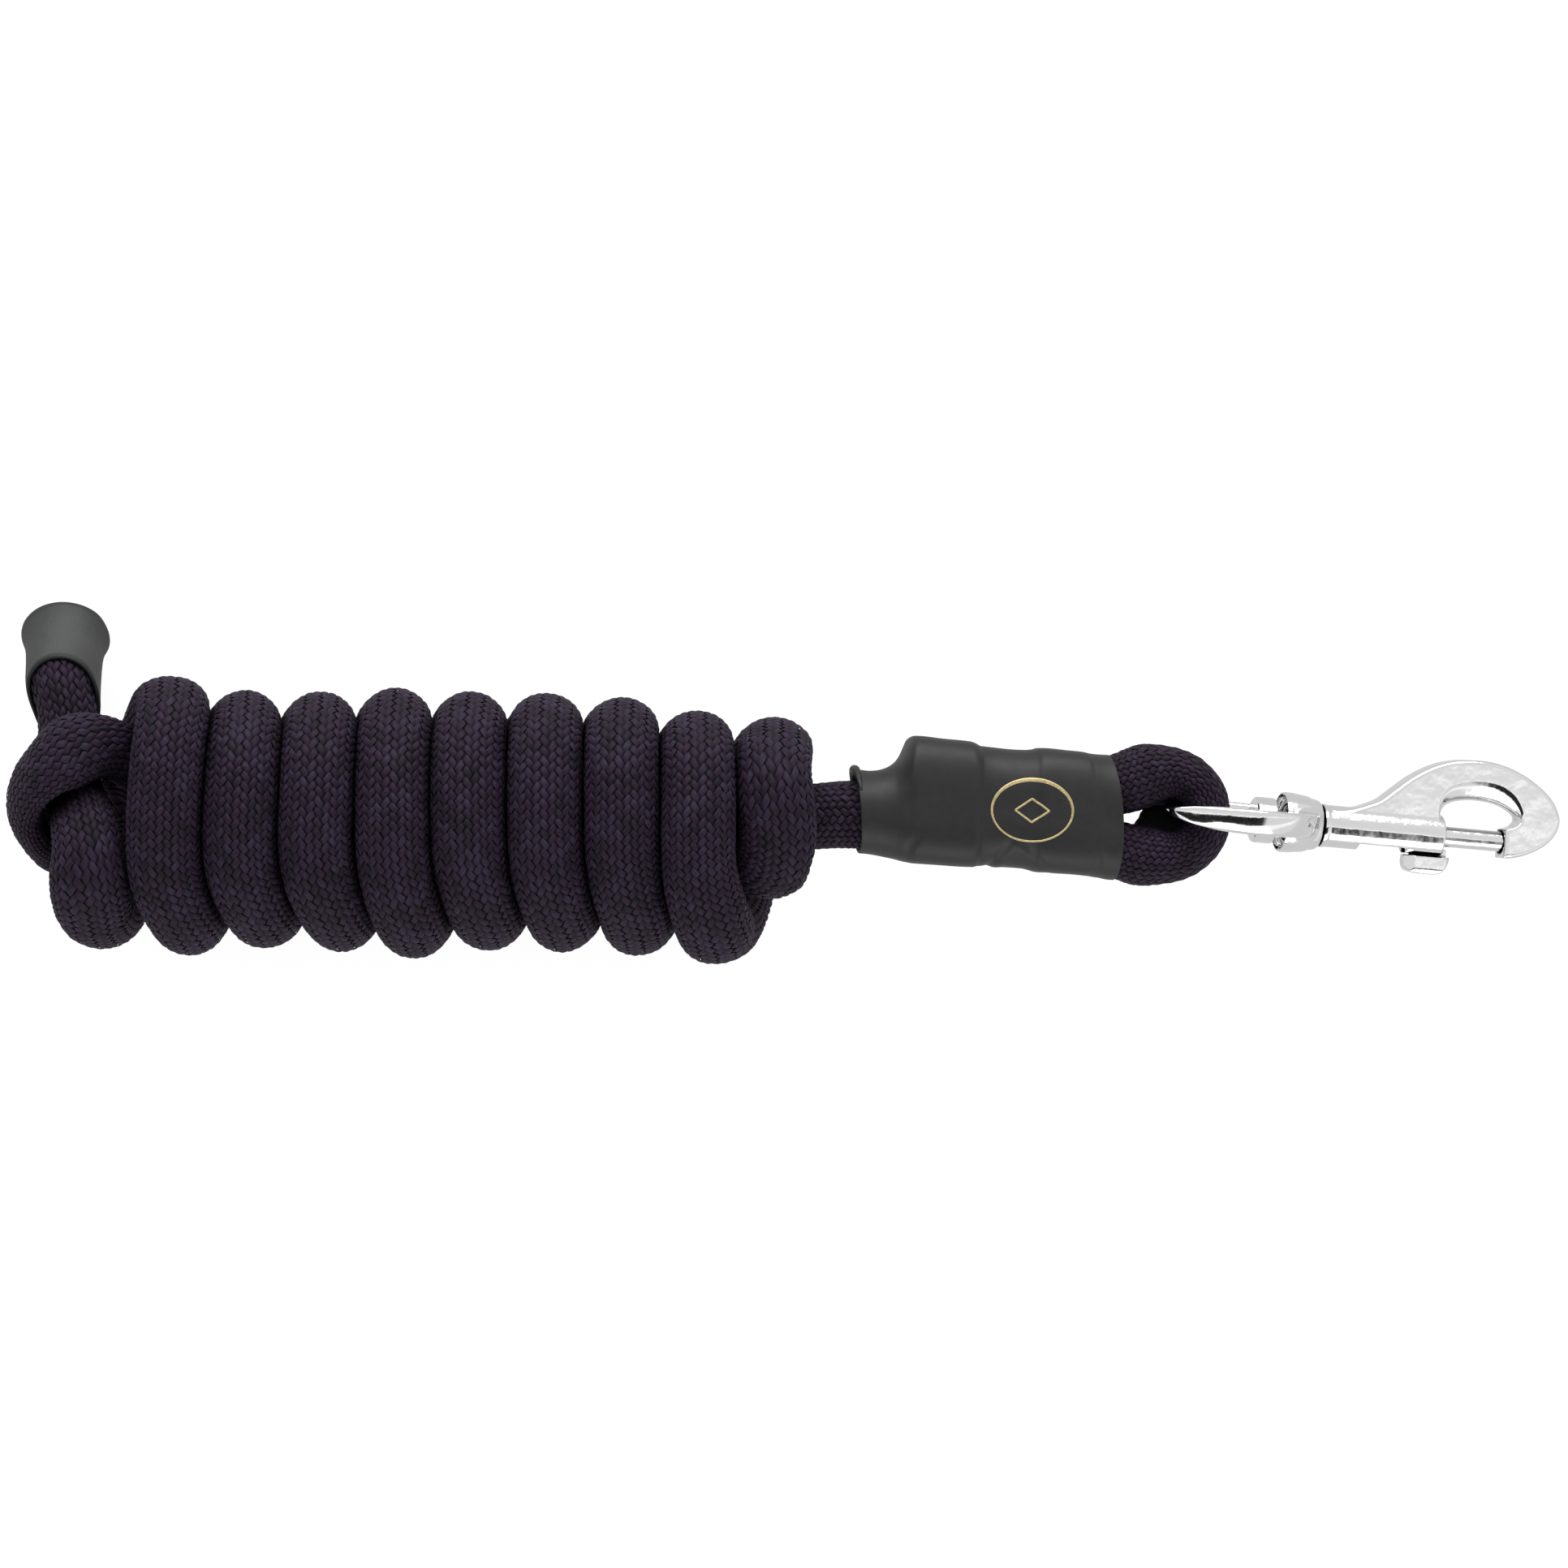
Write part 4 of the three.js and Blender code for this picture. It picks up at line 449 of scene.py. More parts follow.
# --------------------------------------------------------------------- materials
class Shader:
    """A node tree, with short calls for the nodes used here."""

    def __init__(self, tree):
        self.tree = tree
        tree.nodes.clear()

    def feed(self, socket, value):
        if isinstance(value, bpy.types.NodeSocket):
            self.tree.links.new(value, socket)
        else:
            socket.default_value = value

    def add(self, kind, inputs=None, **settings):
        node = self.tree.nodes.new(kind)
        for key, value in settings.items():
            setattr(node, key, value)
        for key, value in (inputs or {}).items():
            self.feed(node.inputs[key], value)
        return node

    def math(self, operation, *values, clamp=False):
        return self.add("ShaderNodeMath", dict(enumerate(values)), operation=operation,
                        use_clamp=clamp).outputs[0]

    def scaled(self, value, gain, offset=None, clamp=False):
        if offset is None:
            return self.math("MULTIPLY", value, gain, clamp=clamp)
        return self.math("MULTIPLY_ADD", value, gain, offset, clamp=clamp)

    def one_minus(self, value, clamp=False):
        return self.math("SUBTRACT", 1.0, value, clamp=clamp)

    def mix(self, factor, first, second, blend="MIX"):
        return self.add("ShaderNodeMix", {0: factor, 6: first, 7: second}, data_type="RGBA",
                        blend_type=blend).outputs[2]

    def ramp(self, factor, stops):
        """stops: rows of (position, (red, green, blue))."""
        node = self.add("ShaderNodeValToRGB", {0: factor})
        elements = node.color_ramp.elements
        while len(elements) > 1:
            elements.remove(elements[-1])
        elements[0].position = stops[0][0]
        elements[0].color = (*stops[0][1], 1)
        for position, colour in stops[1:]:
            elements.new(position).color = (*colour, 1)
        return node.outputs[0]

    def noise(self, scale, detail, vector=None, roughness=0.5):
        inputs = {"Vector": vector or self.position, "Scale": scale, "Detail": detail,
                  "Roughness": roughness}
        return self.add("ShaderNodeTexNoise", inputs).outputs["Fac"]

    def attribute(self, name):
        return self.add("ShaderNodeAttribute", attribute_name=name).outputs["Fac"]

    def grey(self, value):
        return self.add("ShaderNodeCombineColor", {0: value, 1: value, 2: value}).outputs[0]

    def bump(self, height, strength, distance, **inputs):
        inputs.update(Strength=strength, Distance=distance, Height=height)
        return self.add("ShaderNodeBump", inputs).outputs[0]


class Material(Shader):
    """A Principled material; `position` is the object coordinate."""

    def __init__(self, name):
        self.material = bpy.data.materials.new(name)
        self.material.use_nodes = True
        super().__init__(self.material.node_tree)
        self.output = self.add("ShaderNodeOutputMaterial")
        self.principled = self.add("ShaderNodeBsdfPrincipled")
        self.feed(self.output.inputs[0], self.principled.outputs[0])
        self.position = self.add("ShaderNodeTexCoord").outputs["Object"]

    def surface(self, inputs):
        for key, value in inputs.items():
            self.feed(self.principled.inputs[key], value)
        return self.material


def braid_material():
    mat = Material("braid_yarn")
    float_uv = mat.add("ShaderNodeUVMap", uv_map="float").outputs[0]
    along, across = mat.add("ShaderNodeSeparateXYZ", {0: float_uv}).outputs[:2]
    carrier = mat.attribute("carrier")
    float_id = mat.attribute("float_id")

    # slow change of shade along the yarn
    slow = mat.noise(scale=160.0, detail=2.0)
    drift = mat.math("ADD", mat.scaled(slow, gain=0.9), mat.scaled(carrier, gain=0.15))
    hue = mat.math("ADD", mat.scaled(float_id, gain=0.30), drift)
    colour = mat.ramp(hue, stops=[
        (0.20, (0.0028, 0.0014, 0.0052)),
        (0.46, (0.0082, 0.0046, 0.0122)),
        (0.66, (0.0175, 0.0072, 0.0200)),
        (0.90, (0.0235, 0.0155, 0.0350)),
    ])

    # filaments run along each float
    stretched = mat.add("ShaderNodeCombineXYZ", {
        0: mat.scaled(along, gain=2.2),
        1: mat.scaled(across, gain=9.0),
        2: mat.scaled(float_id, gain=57.0),
    }).outputs[0]
    filament = mat.noise(vector=stretched, scale=1.0, detail=3.0, roughness=0.65)
    filament_shade = mat.scaled(filament, gain=2.6, offset=-0.30)

    def edge_shade(place, power, depth):
        from_middle = mat.math("ABSOLUTE", mat.scaled(place, gain=2.0, offset=-1.0))
        return mat.one_minus(mat.scaled(mat.math("POWER", from_middle, power), gain=depth))

    # painted shade: darker towards the float's ends, where it dives under, and its edges, and
    # darker still where other stretches of rope hem it in
    ends = edge_shade(along, power=5.0, depth=0.97)
    sides = edge_shade(across, power=8.0, depth=0.16)
    shade = mat.math("MULTIPLY", mat.math("MULTIPLY", ends, sides), filament_shade)
    unshaded_share = mat.one_minus(mat.scaled(mat.attribute("crevice_shade"), gain=0.95), clamp=True)
    shade = mat.math("MULTIPLY", shade, unshaded_share)
    return mat.surface({
        "Base Color": mat.mix(1.0, colour, mat.grey(shade), blend="MULTIPLY"),
        "Roughness": 0.62,
        # painted shade also takes specular and sheen out where the rope is hemmed in
        "Specular IOR Level": mat.scaled(unshaded_share, gain=0.17),
        "Sheen Weight": mat.scaled(unshaded_share, gain=0.10),
        "Sheen Roughness": 0.4,
        "Sheen Tint": (0.62, 0.52, 0.75, 1),
        "Normal": mat.bump(filament, strength=0.55, distance=0.00012),
    })


def core_material():
    mat = Material("core_fibre")
    grain = mat.noise(scale=900.0, detail=4.0)
    return mat.surface({
        "Base Color": mat.ramp(
            grain, stops=[(0.3, (0.0022, 0.0020, 0.0025)), (0.7, (0.0045, 0.0038, 0.005))]),
        "Roughness": 0.9,
        "Normal": mat.bump(grain, strength=0.5, distance=0.0002),
    })


def sleeve_material():
    mat = Material("shrink_tube")
    cloudy = mat.noise(scale=55.0, detail=3.0, roughness=0.6)
    fine = mat.noise(scale=2600.0, detail=3.0, roughness=0.7)
    middle = mat.noise(scale=420.0, detail=2.0)
    tone = mat.math("ADD", mat.scaled(cloudy, gain=0.5), mat.scaled(middle, gain=0.5))
    height = mat.math("ADD", mat.scaled(fine, gain=0.5), mat.scaled(middle, gain=0.8))
    return mat.surface({
        "Base Color": mat.ramp(tone, stops=[
            (0.3, (0.0062, 0.0065, 0.0066)),
            (0.5, (0.0086, 0.0089, 0.0090)),
            (0.72, (0.0128, 0.0130, 0.0131)),
        ]),
        "Roughness": mat.scaled(middle, gain=0.16, offset=0.46),
        "Specular IOR Level": 0.42,
        "Normal": mat.bump(height, strength=0.35, distance=0.00012),
    })


def cap_material():
    mat = Material("cap_rubber")
    grain = mat.noise(scale=700.0, detail=4.0)
    cloudy = mat.noise(scale=90.0, detail=2.0)
    tone = mat.math("ADD", mat.scaled(grain, gain=0.4), mat.scaled(cloudy, gain=0.6))
    colour = mat.ramp(tone, stops=[(0.3, (0.040, 0.041, 0.041)), (0.7, (0.062, 0.063, 0.063))])
    # painted shade on the mouth's lip, a way inside the mouth and round the closed end's rounded
    # shoulder
    edge_shade_colour = (0.012, 0.014, 0.014, 1)
    return mat.surface({
        "Base Color": mat.mix(mat.attribute("edge"), colour, edge_shade_colour),
        "Roughness": mat.scaled(grain, gain=0.15, offset=0.5),
        "Specular IOR Level": 0.35,
        "Normal": mat.bump(grain, strength=0.3, distance=0.0001),
    })


def chrome_material():
    mat = Material("chrome_plate")
    slow = mat.noise(scale=190.0, detail=2.0)
    fine = mat.noise(scale=1500.0, detail=3.0)
    smear = mat.noise(scale=60.0, detail=4.0, roughness=0.6)
    colour = mat.ramp(smear, stops=[(0.3, (0.735,) * 3), (0.7, (0.775,) * 3)])
    # painted shade: darker where the castings crowd each other
    cavity_shade = mat.ramp(mat.attribute("cavity"), stops=[(0.26, (0, 0, 0)), (0.62, (1, 1, 1))])
    cavity_shade_colour = (0.035, 0.035, 0.037, 1)
    waves = mat.bump(slow, strength=0.35, distance=0.00035)
    return mat.surface({
        "Base Color": mat.mix(cavity_shade, colour, cavity_shade_colour),
        "Metallic": 1.0,
        "Roughness": mat.ramp(fine, stops=[(0.35, (0.06,) * 3), (0.75, (0.17,) * 3)]),
        "Normal": mat.bump(fine, strength=0.10, distance=0.00005, Normal=waves),
    })


def ferrule_material():
    mat = Material("pressed_aluminium")
    grain = mat.noise(scale=500.0, detail=4.0)
    return mat.surface({
        "Base Color": mat.ramp(grain, stops=[(0.3, (0.42, 0.42, 0.43)), (0.7, (0.60, 0.60, 0.61))]),
        "Metallic": 1.0,
        "Roughness": mat.scaled(grain, gain=0.3, offset=0.3),
    })


def spring_material():
    mat = Material("spring_wire")
    grain = mat.noise(scale=1800.0, detail=2.0)
    return mat.surface({
        "Base Color": mat.ramp(grain, stops=[(0.3, (0.30, 0.30, 0.31)), (0.7, (0.52, 0.52, 0.53))]),
        "Metallic": 1.0,
        "Roughness": 0.32,
    })


def gold_material():
    mat = Material("gold_foil")
    grain = mat.noise(scale=2200.0, detail=3.0)
    return mat.surface({
        "Base Color": mat.ramp(grain, stops=[(0.3, (0.42, 0.33, 0.15)), (0.7, (0.66, 0.55, 0.30))]),
        "Metallic": 0.75,
        "Roughness": mat.scaled(grain, gain=0.3, offset=0.30),
        "Normal": mat.bump(grain, strength=0.4, distance=0.00005),
    })


BRAID = braid_material()
CORE = core_material()
SLEEVE = sleeve_material()
CAP = cap_material()
CHROME = chrome_material()
FERRULE = ferrule_material()
SPRING = spring_material()
GOLD = gold_material()

# --------------------------------------------------------------------- rope path
ROPE_STEP = 0.5
# how far each turn is drawn in where it folds over, on its +y and -y side: x, amount
FOLD_PLUS_Y = (
    [-200, -178, -165, -146, -125, -105, -84.5, -64.5, -43.8, -23.8, -2.9, 8, 24],
    [0, 0.3, 1.6, 0.4, 0.6, 0.0, 0.6, 1.7, 1.6, 2.0, 1.2, 1.2, 0],
)
FOLD_MINUS_Y = (
    [-200, -184, -161, -140, -120, -80, -60, -39.6, -18.9, 0, 18],
    [0.4, 0.8, 0.5, 0.5, 0.0, 0.0, 0.0, 1.6, 2.1, 1.0, 0],
)


def rope_table():
    """Arc length, centre and the two scaled section axes at every ROPE_STEP."""
    stations = STATIONS[:, :3]
    knots = path_length(stations)
    fine_knots = np.linspace(0, knots[-1], int(knots[-1] / 0.2) + 1)
    fine = smooth_curve(knots, stations, fine_knots)
    fine_arc = path_length(fine)
    arc = np.arange(0, fine_arc[-1], ROPE_STEP)
    centre = np.stack([np.interp(arc, fine_arc, fine[:, k]) for k in range(3)], 1)
    at = np.interp(arc, fine_arc, fine_knots)
    columns = np.stack([np.interp(at, knots, STATIONS[:, k]) for k in range(3, 8)], 1)

    # half sizes are smoothed along the rope
    kernel = np.hanning(21)
    kernel /= kernel.sum()
    padded = np.pad(columns[:, :2], ((10, 10), (0, 0)), mode="edge")
    half = np.stack([np.convolve(padded[:, k], kernel, "valid") for k in range(2)], 1)

    # a section frame carried along the path without twist
    tangent = unit(np.gradient(centre, axis=0))
    start = np.array([0.0, 0.0, 1.0])
    normal = np.empty_like(centre)
    normal[0] = unit(start - start.dot(tangent[0]) * tangent[0])
    for i in range(1, len(centre)):
        carried = normal[i - 1] - normal[i - 1].dot(tangent[i]) * tangent[i]
        normal[i] = carried / np.linalg.norm(carried)
    binormal = np.cross(tangent, normal)
    thin = columns[:, 2:]
    thin = unit(thin - (thin * tangent).sum(1)[:, None] * tangent)
    wide = np.cross(tangent, thin)

    def squeeze(axis):
        return (thin * ((axis * thin).sum(1) * half[:, 0])[:, None]
                + wide * ((axis * wide).sum(1) * half[:, 1])[:, None])

    return arc, centre, squeeze(normal), squeeze(binormal)


ROPE_ARC, ROPE_CENTRE, ROPE_NORMAL, ROPE_BINORMAL = rope_table()
ROPE_LENGTH = ROPE_ARC[-1]


def rope_surface(arc, angle, height):
    """Surface points at an arc length, an angle round the rope and a height over it."""
    place = np.clip(arc / ROPE_STEP, 0, len(ROPE_ARC) - 1.001)
    i = place.astype(int)
    part = (place - i)[:, None]
    centre, normal, binormal = (
        table[i] * (1 - part) + table[i + 1] * part
        for table in (ROPE_CENTRE, ROPE_NORMAL, ROPE_BINORMAL))
    radius = normal * np.cos(angle)[:, None] + binormal * np.sin(angle)[:, None]
    length = np.linalg.norm(radius, axis=1, keepdims=True)
    return nestle(centre + radius * (1 + height[:, None] / length))


def leg_middle(x):
    """y of the line midway between the two rope legs beside the ring."""
    return -7.3 - (x - 105.0) * 0.09


def nestle(points):
    """Where the rope doubles back through the ring its legs press together behind it."""
    x, y, z = points.T
    middle = leg_middle(x)
    off = y - middle
    leg = between(80.0, 90.0, 93.0, 107.0, x)
    off = off * (1 + np.where(off > 0, 0.125, 0.065) * leg)
    near = np.abs(off)
    shut = between(95.0, 98.2, 99.0, 101.8, x) * fall(3.5, 9.5, near) * fall(17.0, 23.0, z)
    out = 1.15 * rise(106.0, 119.0, x) * (1 - 0.6 * rise(6.0, 16.0, near))
    return settle(np.stack([x + out, middle + off * (1 - 0.97 * shut), z], 1))


def settle(points):
    """Slumps the turns of the coil, the loop at its -x end and the tail."""
    x, y, z = points.T
    tail = fall(-190.0, -180.0, x)
    y = (y - np.interp(x, *FOLD_PLUS_Y) * rise(8.0, 36.0, y)
         + np.interp(x, *FOLD_MINUS_Y) * rise(8.0, 38.0, -y))
    # end loop draws in on its outer side; the tail stands a little further out
    x = x + 2.3 * fall(-209.0, -186.0, x) * between(-34.0, -20.0, 18.0, 27.0, y)
    y = y + 3.4 * tail * rise(17.0, 31.0, y)
    # flanks of the turns and loops at both ends of the coil
    x = x - 1.3 * between(-186.0, -179.0, -177.0, -166.0, x) * rise(18.0, 30.0, y)
    x = x - 1.1 * fall(-197.0, -184.0, x) * rise(16.0, 25.0, -y)
    x = x + 1.1 * between(-4.0, 9.0, 14.0, 22.0, x) * rise(2.0, 14.0, y)
    x = x + 1.6 * between(-20.0, -7.0, 4.0, 12.0, x) * rise(20.0, 30.0, -y)
    # the hollow between the end loop and the next turn closes up low down, along a
    # line that leans towards the camera
    off_x, off_y = x + 0.1459 * (CAMERA_HEIGHT - z) + 2.4, y - 0.45
    pull = 0.98 * fall(5.0, 12.5, np.hypot(off_x, off_y)) * fall(21.0, 30.0, z)
    return np.stack([x - off_x * pull, y - off_y * pull, z], 1)


# ---------------------------------------------------- how closed-in the surface is
CROWD_STEP = 2.0
CROWD_AROUND = 48


def crowding_table():
    """For places along and round the rope: how near another stretch of rope lies."""
    every = np.arange(0, len(ROPE_ARC), int(CROWD_STEP / ROPE_STEP))
    arc = ROPE_ARC[every]
    angle = np.arange(CROWD_AROUND) / CROWD_AROUND * 2 * math.pi
    arcs, angles = (grid.ravel() for grid in np.meshgrid(arc, angle, indexing="ij"))
    points = rope_surface(arcs, angles, np.zeros(arcs.size)).reshape(len(arc), CROWD_AROUND, 3)
    centre = settle(ROPE_CENTRE[every])
    crevice_shade = np.zeros((len(arc), CROWD_AROUND))
    for k in range(len(arc)):
        others = centre[np.abs(arc - arc[k]) > 34.0]
        gap = np.linalg.norm(points[k][:, None] - others[None], axis=2).min(1) - 7.3
        # painted shade mask: full where another stretch of rope lies close, none past 5.6 mm of gap
        crevice_shade[k] = fall(1.9, 5.6, gap)
    return crevice_shade


CROWD = crowding_table()


def crowding(arc, angle):
    along = np.clip(arc / CROWD_STEP, 0, CROWD.shape[0] - 1.001)
    around = np.mod(angle, TURN) / TURN * CROWD_AROUND
    row, col = along.astype(int), around.astype(int) % CROWD_AROUND
    next_col = (col + 1) % CROWD_AROUND
    return bilinear(CROWD, row, col, next_col, along - row, around - np.floor(around))


# ------------------------------------------------------------------ braided rope
# Herringbone braid: 14 + 14 columns of floats, each float two cells long and one wide.
COLUMNS = 56
HALF_PITCH = 1.115
FLOAT_ALONG = np.array([-0.12, 0.10, 0.48, 1.0, 1.52, 1.90, 2.12])
FLOAT_ACROSS = np.array([0.0, 0.2, 0.5, 0.8, 1.0])
PIECE_LENGTH = 200.0
GROUND = 0.55


def scatter(seed, gain=43758.5453):
    """Repeatable number for each seed."""
    return np.modf(np.sin(seed) * gain)[0] % 1.0


def float_cells(arc_start, arc_end):
    """Column, row and lean (1 = left) of every float that starts in the stretch."""
    row_start = int(math.ceil(arc_start / HALF_PITCH))
    row_end = int(math.ceil(arc_end / HALF_PITCH))
    cells = []
    for first_column, left in ((0, 0), (3, 1)):
        for column in range(first_column, COLUMNS, 4):
            rows = np.arange(row_start + (row_start - column) % 2, row_end, 2)
            full = np.full_like(rows, column)
            cells.append(np.stack([full, rows, np.full_like(rows, left)], 1))
    return np.concatenate(cells).T


def braid_piece(name, arc_start, arc_end):
    column, row, left = float_cells(arc_start, arc_end)
    count = len(column)
    # every yarn carrier and every float gets its own repeatable number
    carriers = COLUMNS // 2
    carrier = np.where(left == 1, 100 + (column + row) // 2 % carriers,
                       (row - column) // 2 % carriers)
    carrier_id = scatter(carrier * 12.9898 + 4.1)
    float_id = scatter(column * 12.9898 + row * 78.233 + left * 3.7)
    wander = scatter(column * 39.425 + row * 11.135 + left * 9.1, gain=24634.6345)

    along, across = (
        grid.ravel() for grid in np.meshgrid(FLOAT_ALONG, FLOAT_ACROSS, indexing="ij"))
    size = len(along)
    lean = np.where(left[:, None] == 1, across[None] - along[None], along[None] - across[None])
    columns = column[:, None] + lean
    rows = row[:, None] + along[None] + across[None] + (wander[:, None] - 0.5) * 0.10

    # each float is crowned across and dives under at its ends
    side = 1 - np.abs(2 * across - 1) ** 3.0
    end = 1 - np.clip((np.abs(along - 1) - 0.26) / 0.80, 0, 1) ** 2.0
    height = -0.12 + (0.27 * side * (0.30 + 0.70 * end))[None] - (0.66 * (1 - end))[None]
    height = height + (carrier_id[:, None] - 0.5) * 0.10 + (float_id[:, None] - 0.5) * 0.09
    arc = (rows * HALF_PITCH).ravel()
    angle = (columns * (TURN / COLUMNS)).ravel()
    on_rope = np.clip(arc, 0, ROPE_LENGTH)
    points = rope_surface(on_rope, angle, height.ravel())

    # soft rope flattens where it lies on the ground
    z = points[:, 2]
    limit = GROUND + 0.02
    pressed = limit - 0.12 * np.tanh(np.maximum(limit - z, 0) / 1.2) + 0.12
    points[:, 2] = np.where(z < limit, pressed, z)

    quads = grid_faces(len(FLOAT_ALONG), len(FLOAT_ACROSS))
    faces = quads[None] + (np.arange(count) * size)[:, None, None]
    # left floats run the other way round the rope, so their quads turn over
    faces[left == 1] = faces[left == 1][:, :, ::-1]
    # a second unwrap runs round the rope and along it, with a margin
    bake_u = (columns.ravel() + 3.0) / (COLUMNS + 6.0)
    bake_v = (arc - arc_start + 4.0) / (arc_end - arc_start + 8.0)
    return make_mesh(
        name, points, [faces.reshape(-1, 4)], BRAID, "rope",
        uv={
            "float": np.stack([np.tile(along / 2, count), np.tile(across, count)], 1),
            "OFBake": np.clip(np.stack([bake_u, bake_v], 1), 0, 1),
        },
        attrs={
            "carrier": np.repeat(carrier_id, size),
            "float_id": np.repeat(float_id, size),
            # painted shade between the turns, read from the crowding table
            "crevice_shade": crowding(on_rope, angle),
        },
    )


def braided_rope():
    count = max(8, int(math.ceil(ROPE_LENGTH / PIECE_LENGTH)))
    cuts = np.linspace(0, ROPE_LENGTH, count + 1)
    pieces = [braid_piece(f"braid_{k + 1:02d}", cuts[k], cuts[k + 1]) for k in range(count)]
    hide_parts("rope_cover")


braided_rope()


def rope_filler():
    """Filler inside the braid, with six lobes that twist slowly."""
    arc = np.arange(0, ROPE_LENGTH - 0.5, 1.6)
    around = 30
    angle = np.arange(around) / around * 2 * math.pi
    arcs, angles = (grid.ravel() for grid in np.meshgrid(arc, angle, indexing="ij"))
    lobes = -0.86 + 0.08 * np.abs(np.cos(3 * (angles + arcs * 0.05)))
    points = rope_surface(arcs, angles, lobes).reshape(len(arc), around, 3)
    points[..., 2] = np.maximum(points[..., 2], GROUND + 0.55)
    # under the ring the two legs are squeezed until the strands inside them meet; the dark filler
    # is drawn out into a web across the gap between them, a dark sheet standing in for the shade
    # there
    x, y, z = points[..., 0], points[..., 1], points[..., 2]
    off = y - leg_middle(x)
    shade_web = between(96.0, 99.5, 111.0, 114.0, x) * fall(15.0, 22.0, z)
    near = np.abs(off)
    points[..., 1] = y - off * 1.1 * shade_web * fall(8.5, 12.5, near)
    points[..., 2] = z - (z - 9.6) * shade_web * fall(5.5, 10.5, near)
    verts = np.concatenate([points.reshape(-1, 3), [points[0].mean(0), points[-1].mean(0)]])
    make_mesh("rope_filler", verts, tube_faces(len(arc), around), CORE, "rope",
              replaces="rope_core", tidy=True)


rope_filler()

# ------------------------------------------------------- materials of the CAD nodes
for node_name, node_material in (
    ("crimp_ferrule_rear", FERRULE), ("crimp_ferrule_front", FERRULE),
    ("swivel_eye", CHROME), ("snap_body", CHROME), ("bolt_plunger", CHROME),
    ("thumb_stud", CHROME), ("bolt_spring", SPRING), ("splice_sleeve", SLEEVE),
    ("tail_cap", CAP),
):
    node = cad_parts[node_name]
    if len(node.material_slots) == 0:
        node.data.materials.append(node_material)
    for material_slot in node.material_slots:
        material_slot.material = node_material

# ------------------------------------------------------------- heat-shrink sleeve
SLEEVE_START = np.array([20.36, -7.41, 30.75])
SLEEVE_END = np.array([91.68, -9.35, 23.1])
# along the sleeve, +y edge and -y edge (from the sleeve's axis), half depth, squareness
SLEEVE_ROWS = np.array([
    (0.0, 11.35, -11.55, 11.3, 2.1), (1.5, 11.30, -11.60, 11.3, 2.1),
    (3.5, 11.15, -11.80, 11.4, 2.15), (5.5, 11.35, -12.05, 11.5, 2.2),
    (7.5, 12.00, -12.35, 11.7, 2.3), (9.0, 12.90, -12.60, 11.9, 2.4),
    (10.2, 14.10, -12.85, 12.2, 2.6), (11.2, 15.60, -13.10, 12.5, 2.8),
    (12.2, 17.80, -13.35, 12.8, 3.0), (13.4, 20.30, -13.60, 13.15, 3.3),
    (15.0, 21.00, -13.85, 13.3, 3.4), (22.0, 20.45, -14.15, 13.3, 3.5),
    (29.8, 19.85, -14.50, 13.3, 3.4), (31.4, 19.30, -14.50, 13.15, 3.1),
    (32.6, 18.70, -14.20, 12.85, 2.8), (36.0, 18.45, -14.10, 12.75, 2.6),
    (45.0, 18.00, -14.50, 12.75, 2.6), (47.4, 18.20, -14.95, 12.9, 2.8),
    (48.8, 18.60, -15.30, 13.2, 3.1), (50.5, 18.65, -15.45, 13.3, 3.4),
    (57.0, 18.20, -15.70, 13.3, 3.5), (62.6, 17.80, -16.05, 13.25, 3.4),
    (64.6, 17.50, -16.20, 13.15, 3.1), (66.5, 17.35, -16.50, 13.1, 3.0),
    (69.0, 17.30, -16.80, 13.15, 2.8), (71.0, 17.30, -16.95, 13.2, 2.7),
    (71.9, 17.30, -17.00, 13.15, 2.7),
])
# the last rows are drawn in towards the start
SLEEVE_ROWS[:, 0] -= 1.9 * np.clip((SLEEVE_ROWS[:, 0] - 58.0) / 13.9, 0, 1)
SLEEVE_LENGTH = SLEEVE_ROWS[-1, 0]
SLEEVE_ALONG = unit(SLEEVE_END - SLEEVE_START)
SLEEVE_ACROSS = unit(np.cross(np.array([0.0, 0.0, 1.0]), SLEEVE_ALONG))
SLEEVE_UP = np.cross(SLEEVE_ALONG, SLEEVE_ACROSS)
FERRULE_EDGES = (14.2, 31.2, 48.6, 64.2)
# height, place along and across, reach along and across, turn, whether faded off the top
CREASES = [
    (-0.55, 13.2, -9.6, 1.3, 3.6, -0.25, True), (0.35, 15.4, -9.6, 1.6, 4.0, -0.25, True),
    (-0.50, 37.0, -11.8, 5.0, 1.1, 0.95, False), (0.35, 39.4, -11.5, 4.6, 1.2, 0.9, False),
    (-0.50, 47.5, -11.0, 6.0, 1.1, -0.75, False), (0.55, 44.2, -9.2, 4.5, 1.6, -0.65, False),
    (-0.35, 65.8, -12.5, 1.2, 4.4, 0.15, False), (0.22, 68.2, -11.0, 1.4, 4.6, 0.15, False),
]


def sleeve_section(along):
    """Middle, half width, half depth and squareness of the sleeve's section."""
    plus_y, minus_y, depth, power = (
        monotone_curve(SLEEVE_ROWS[:, 0], SLEEVE_ROWS[:, k], along) for k in (1, 2, 3, 4))
    return (plus_y + minus_y) / 2, (plus_y - minus_y) / 2, depth, power


def signed_power(value, power):
    return np.sign(value) * np.abs(value) ** power


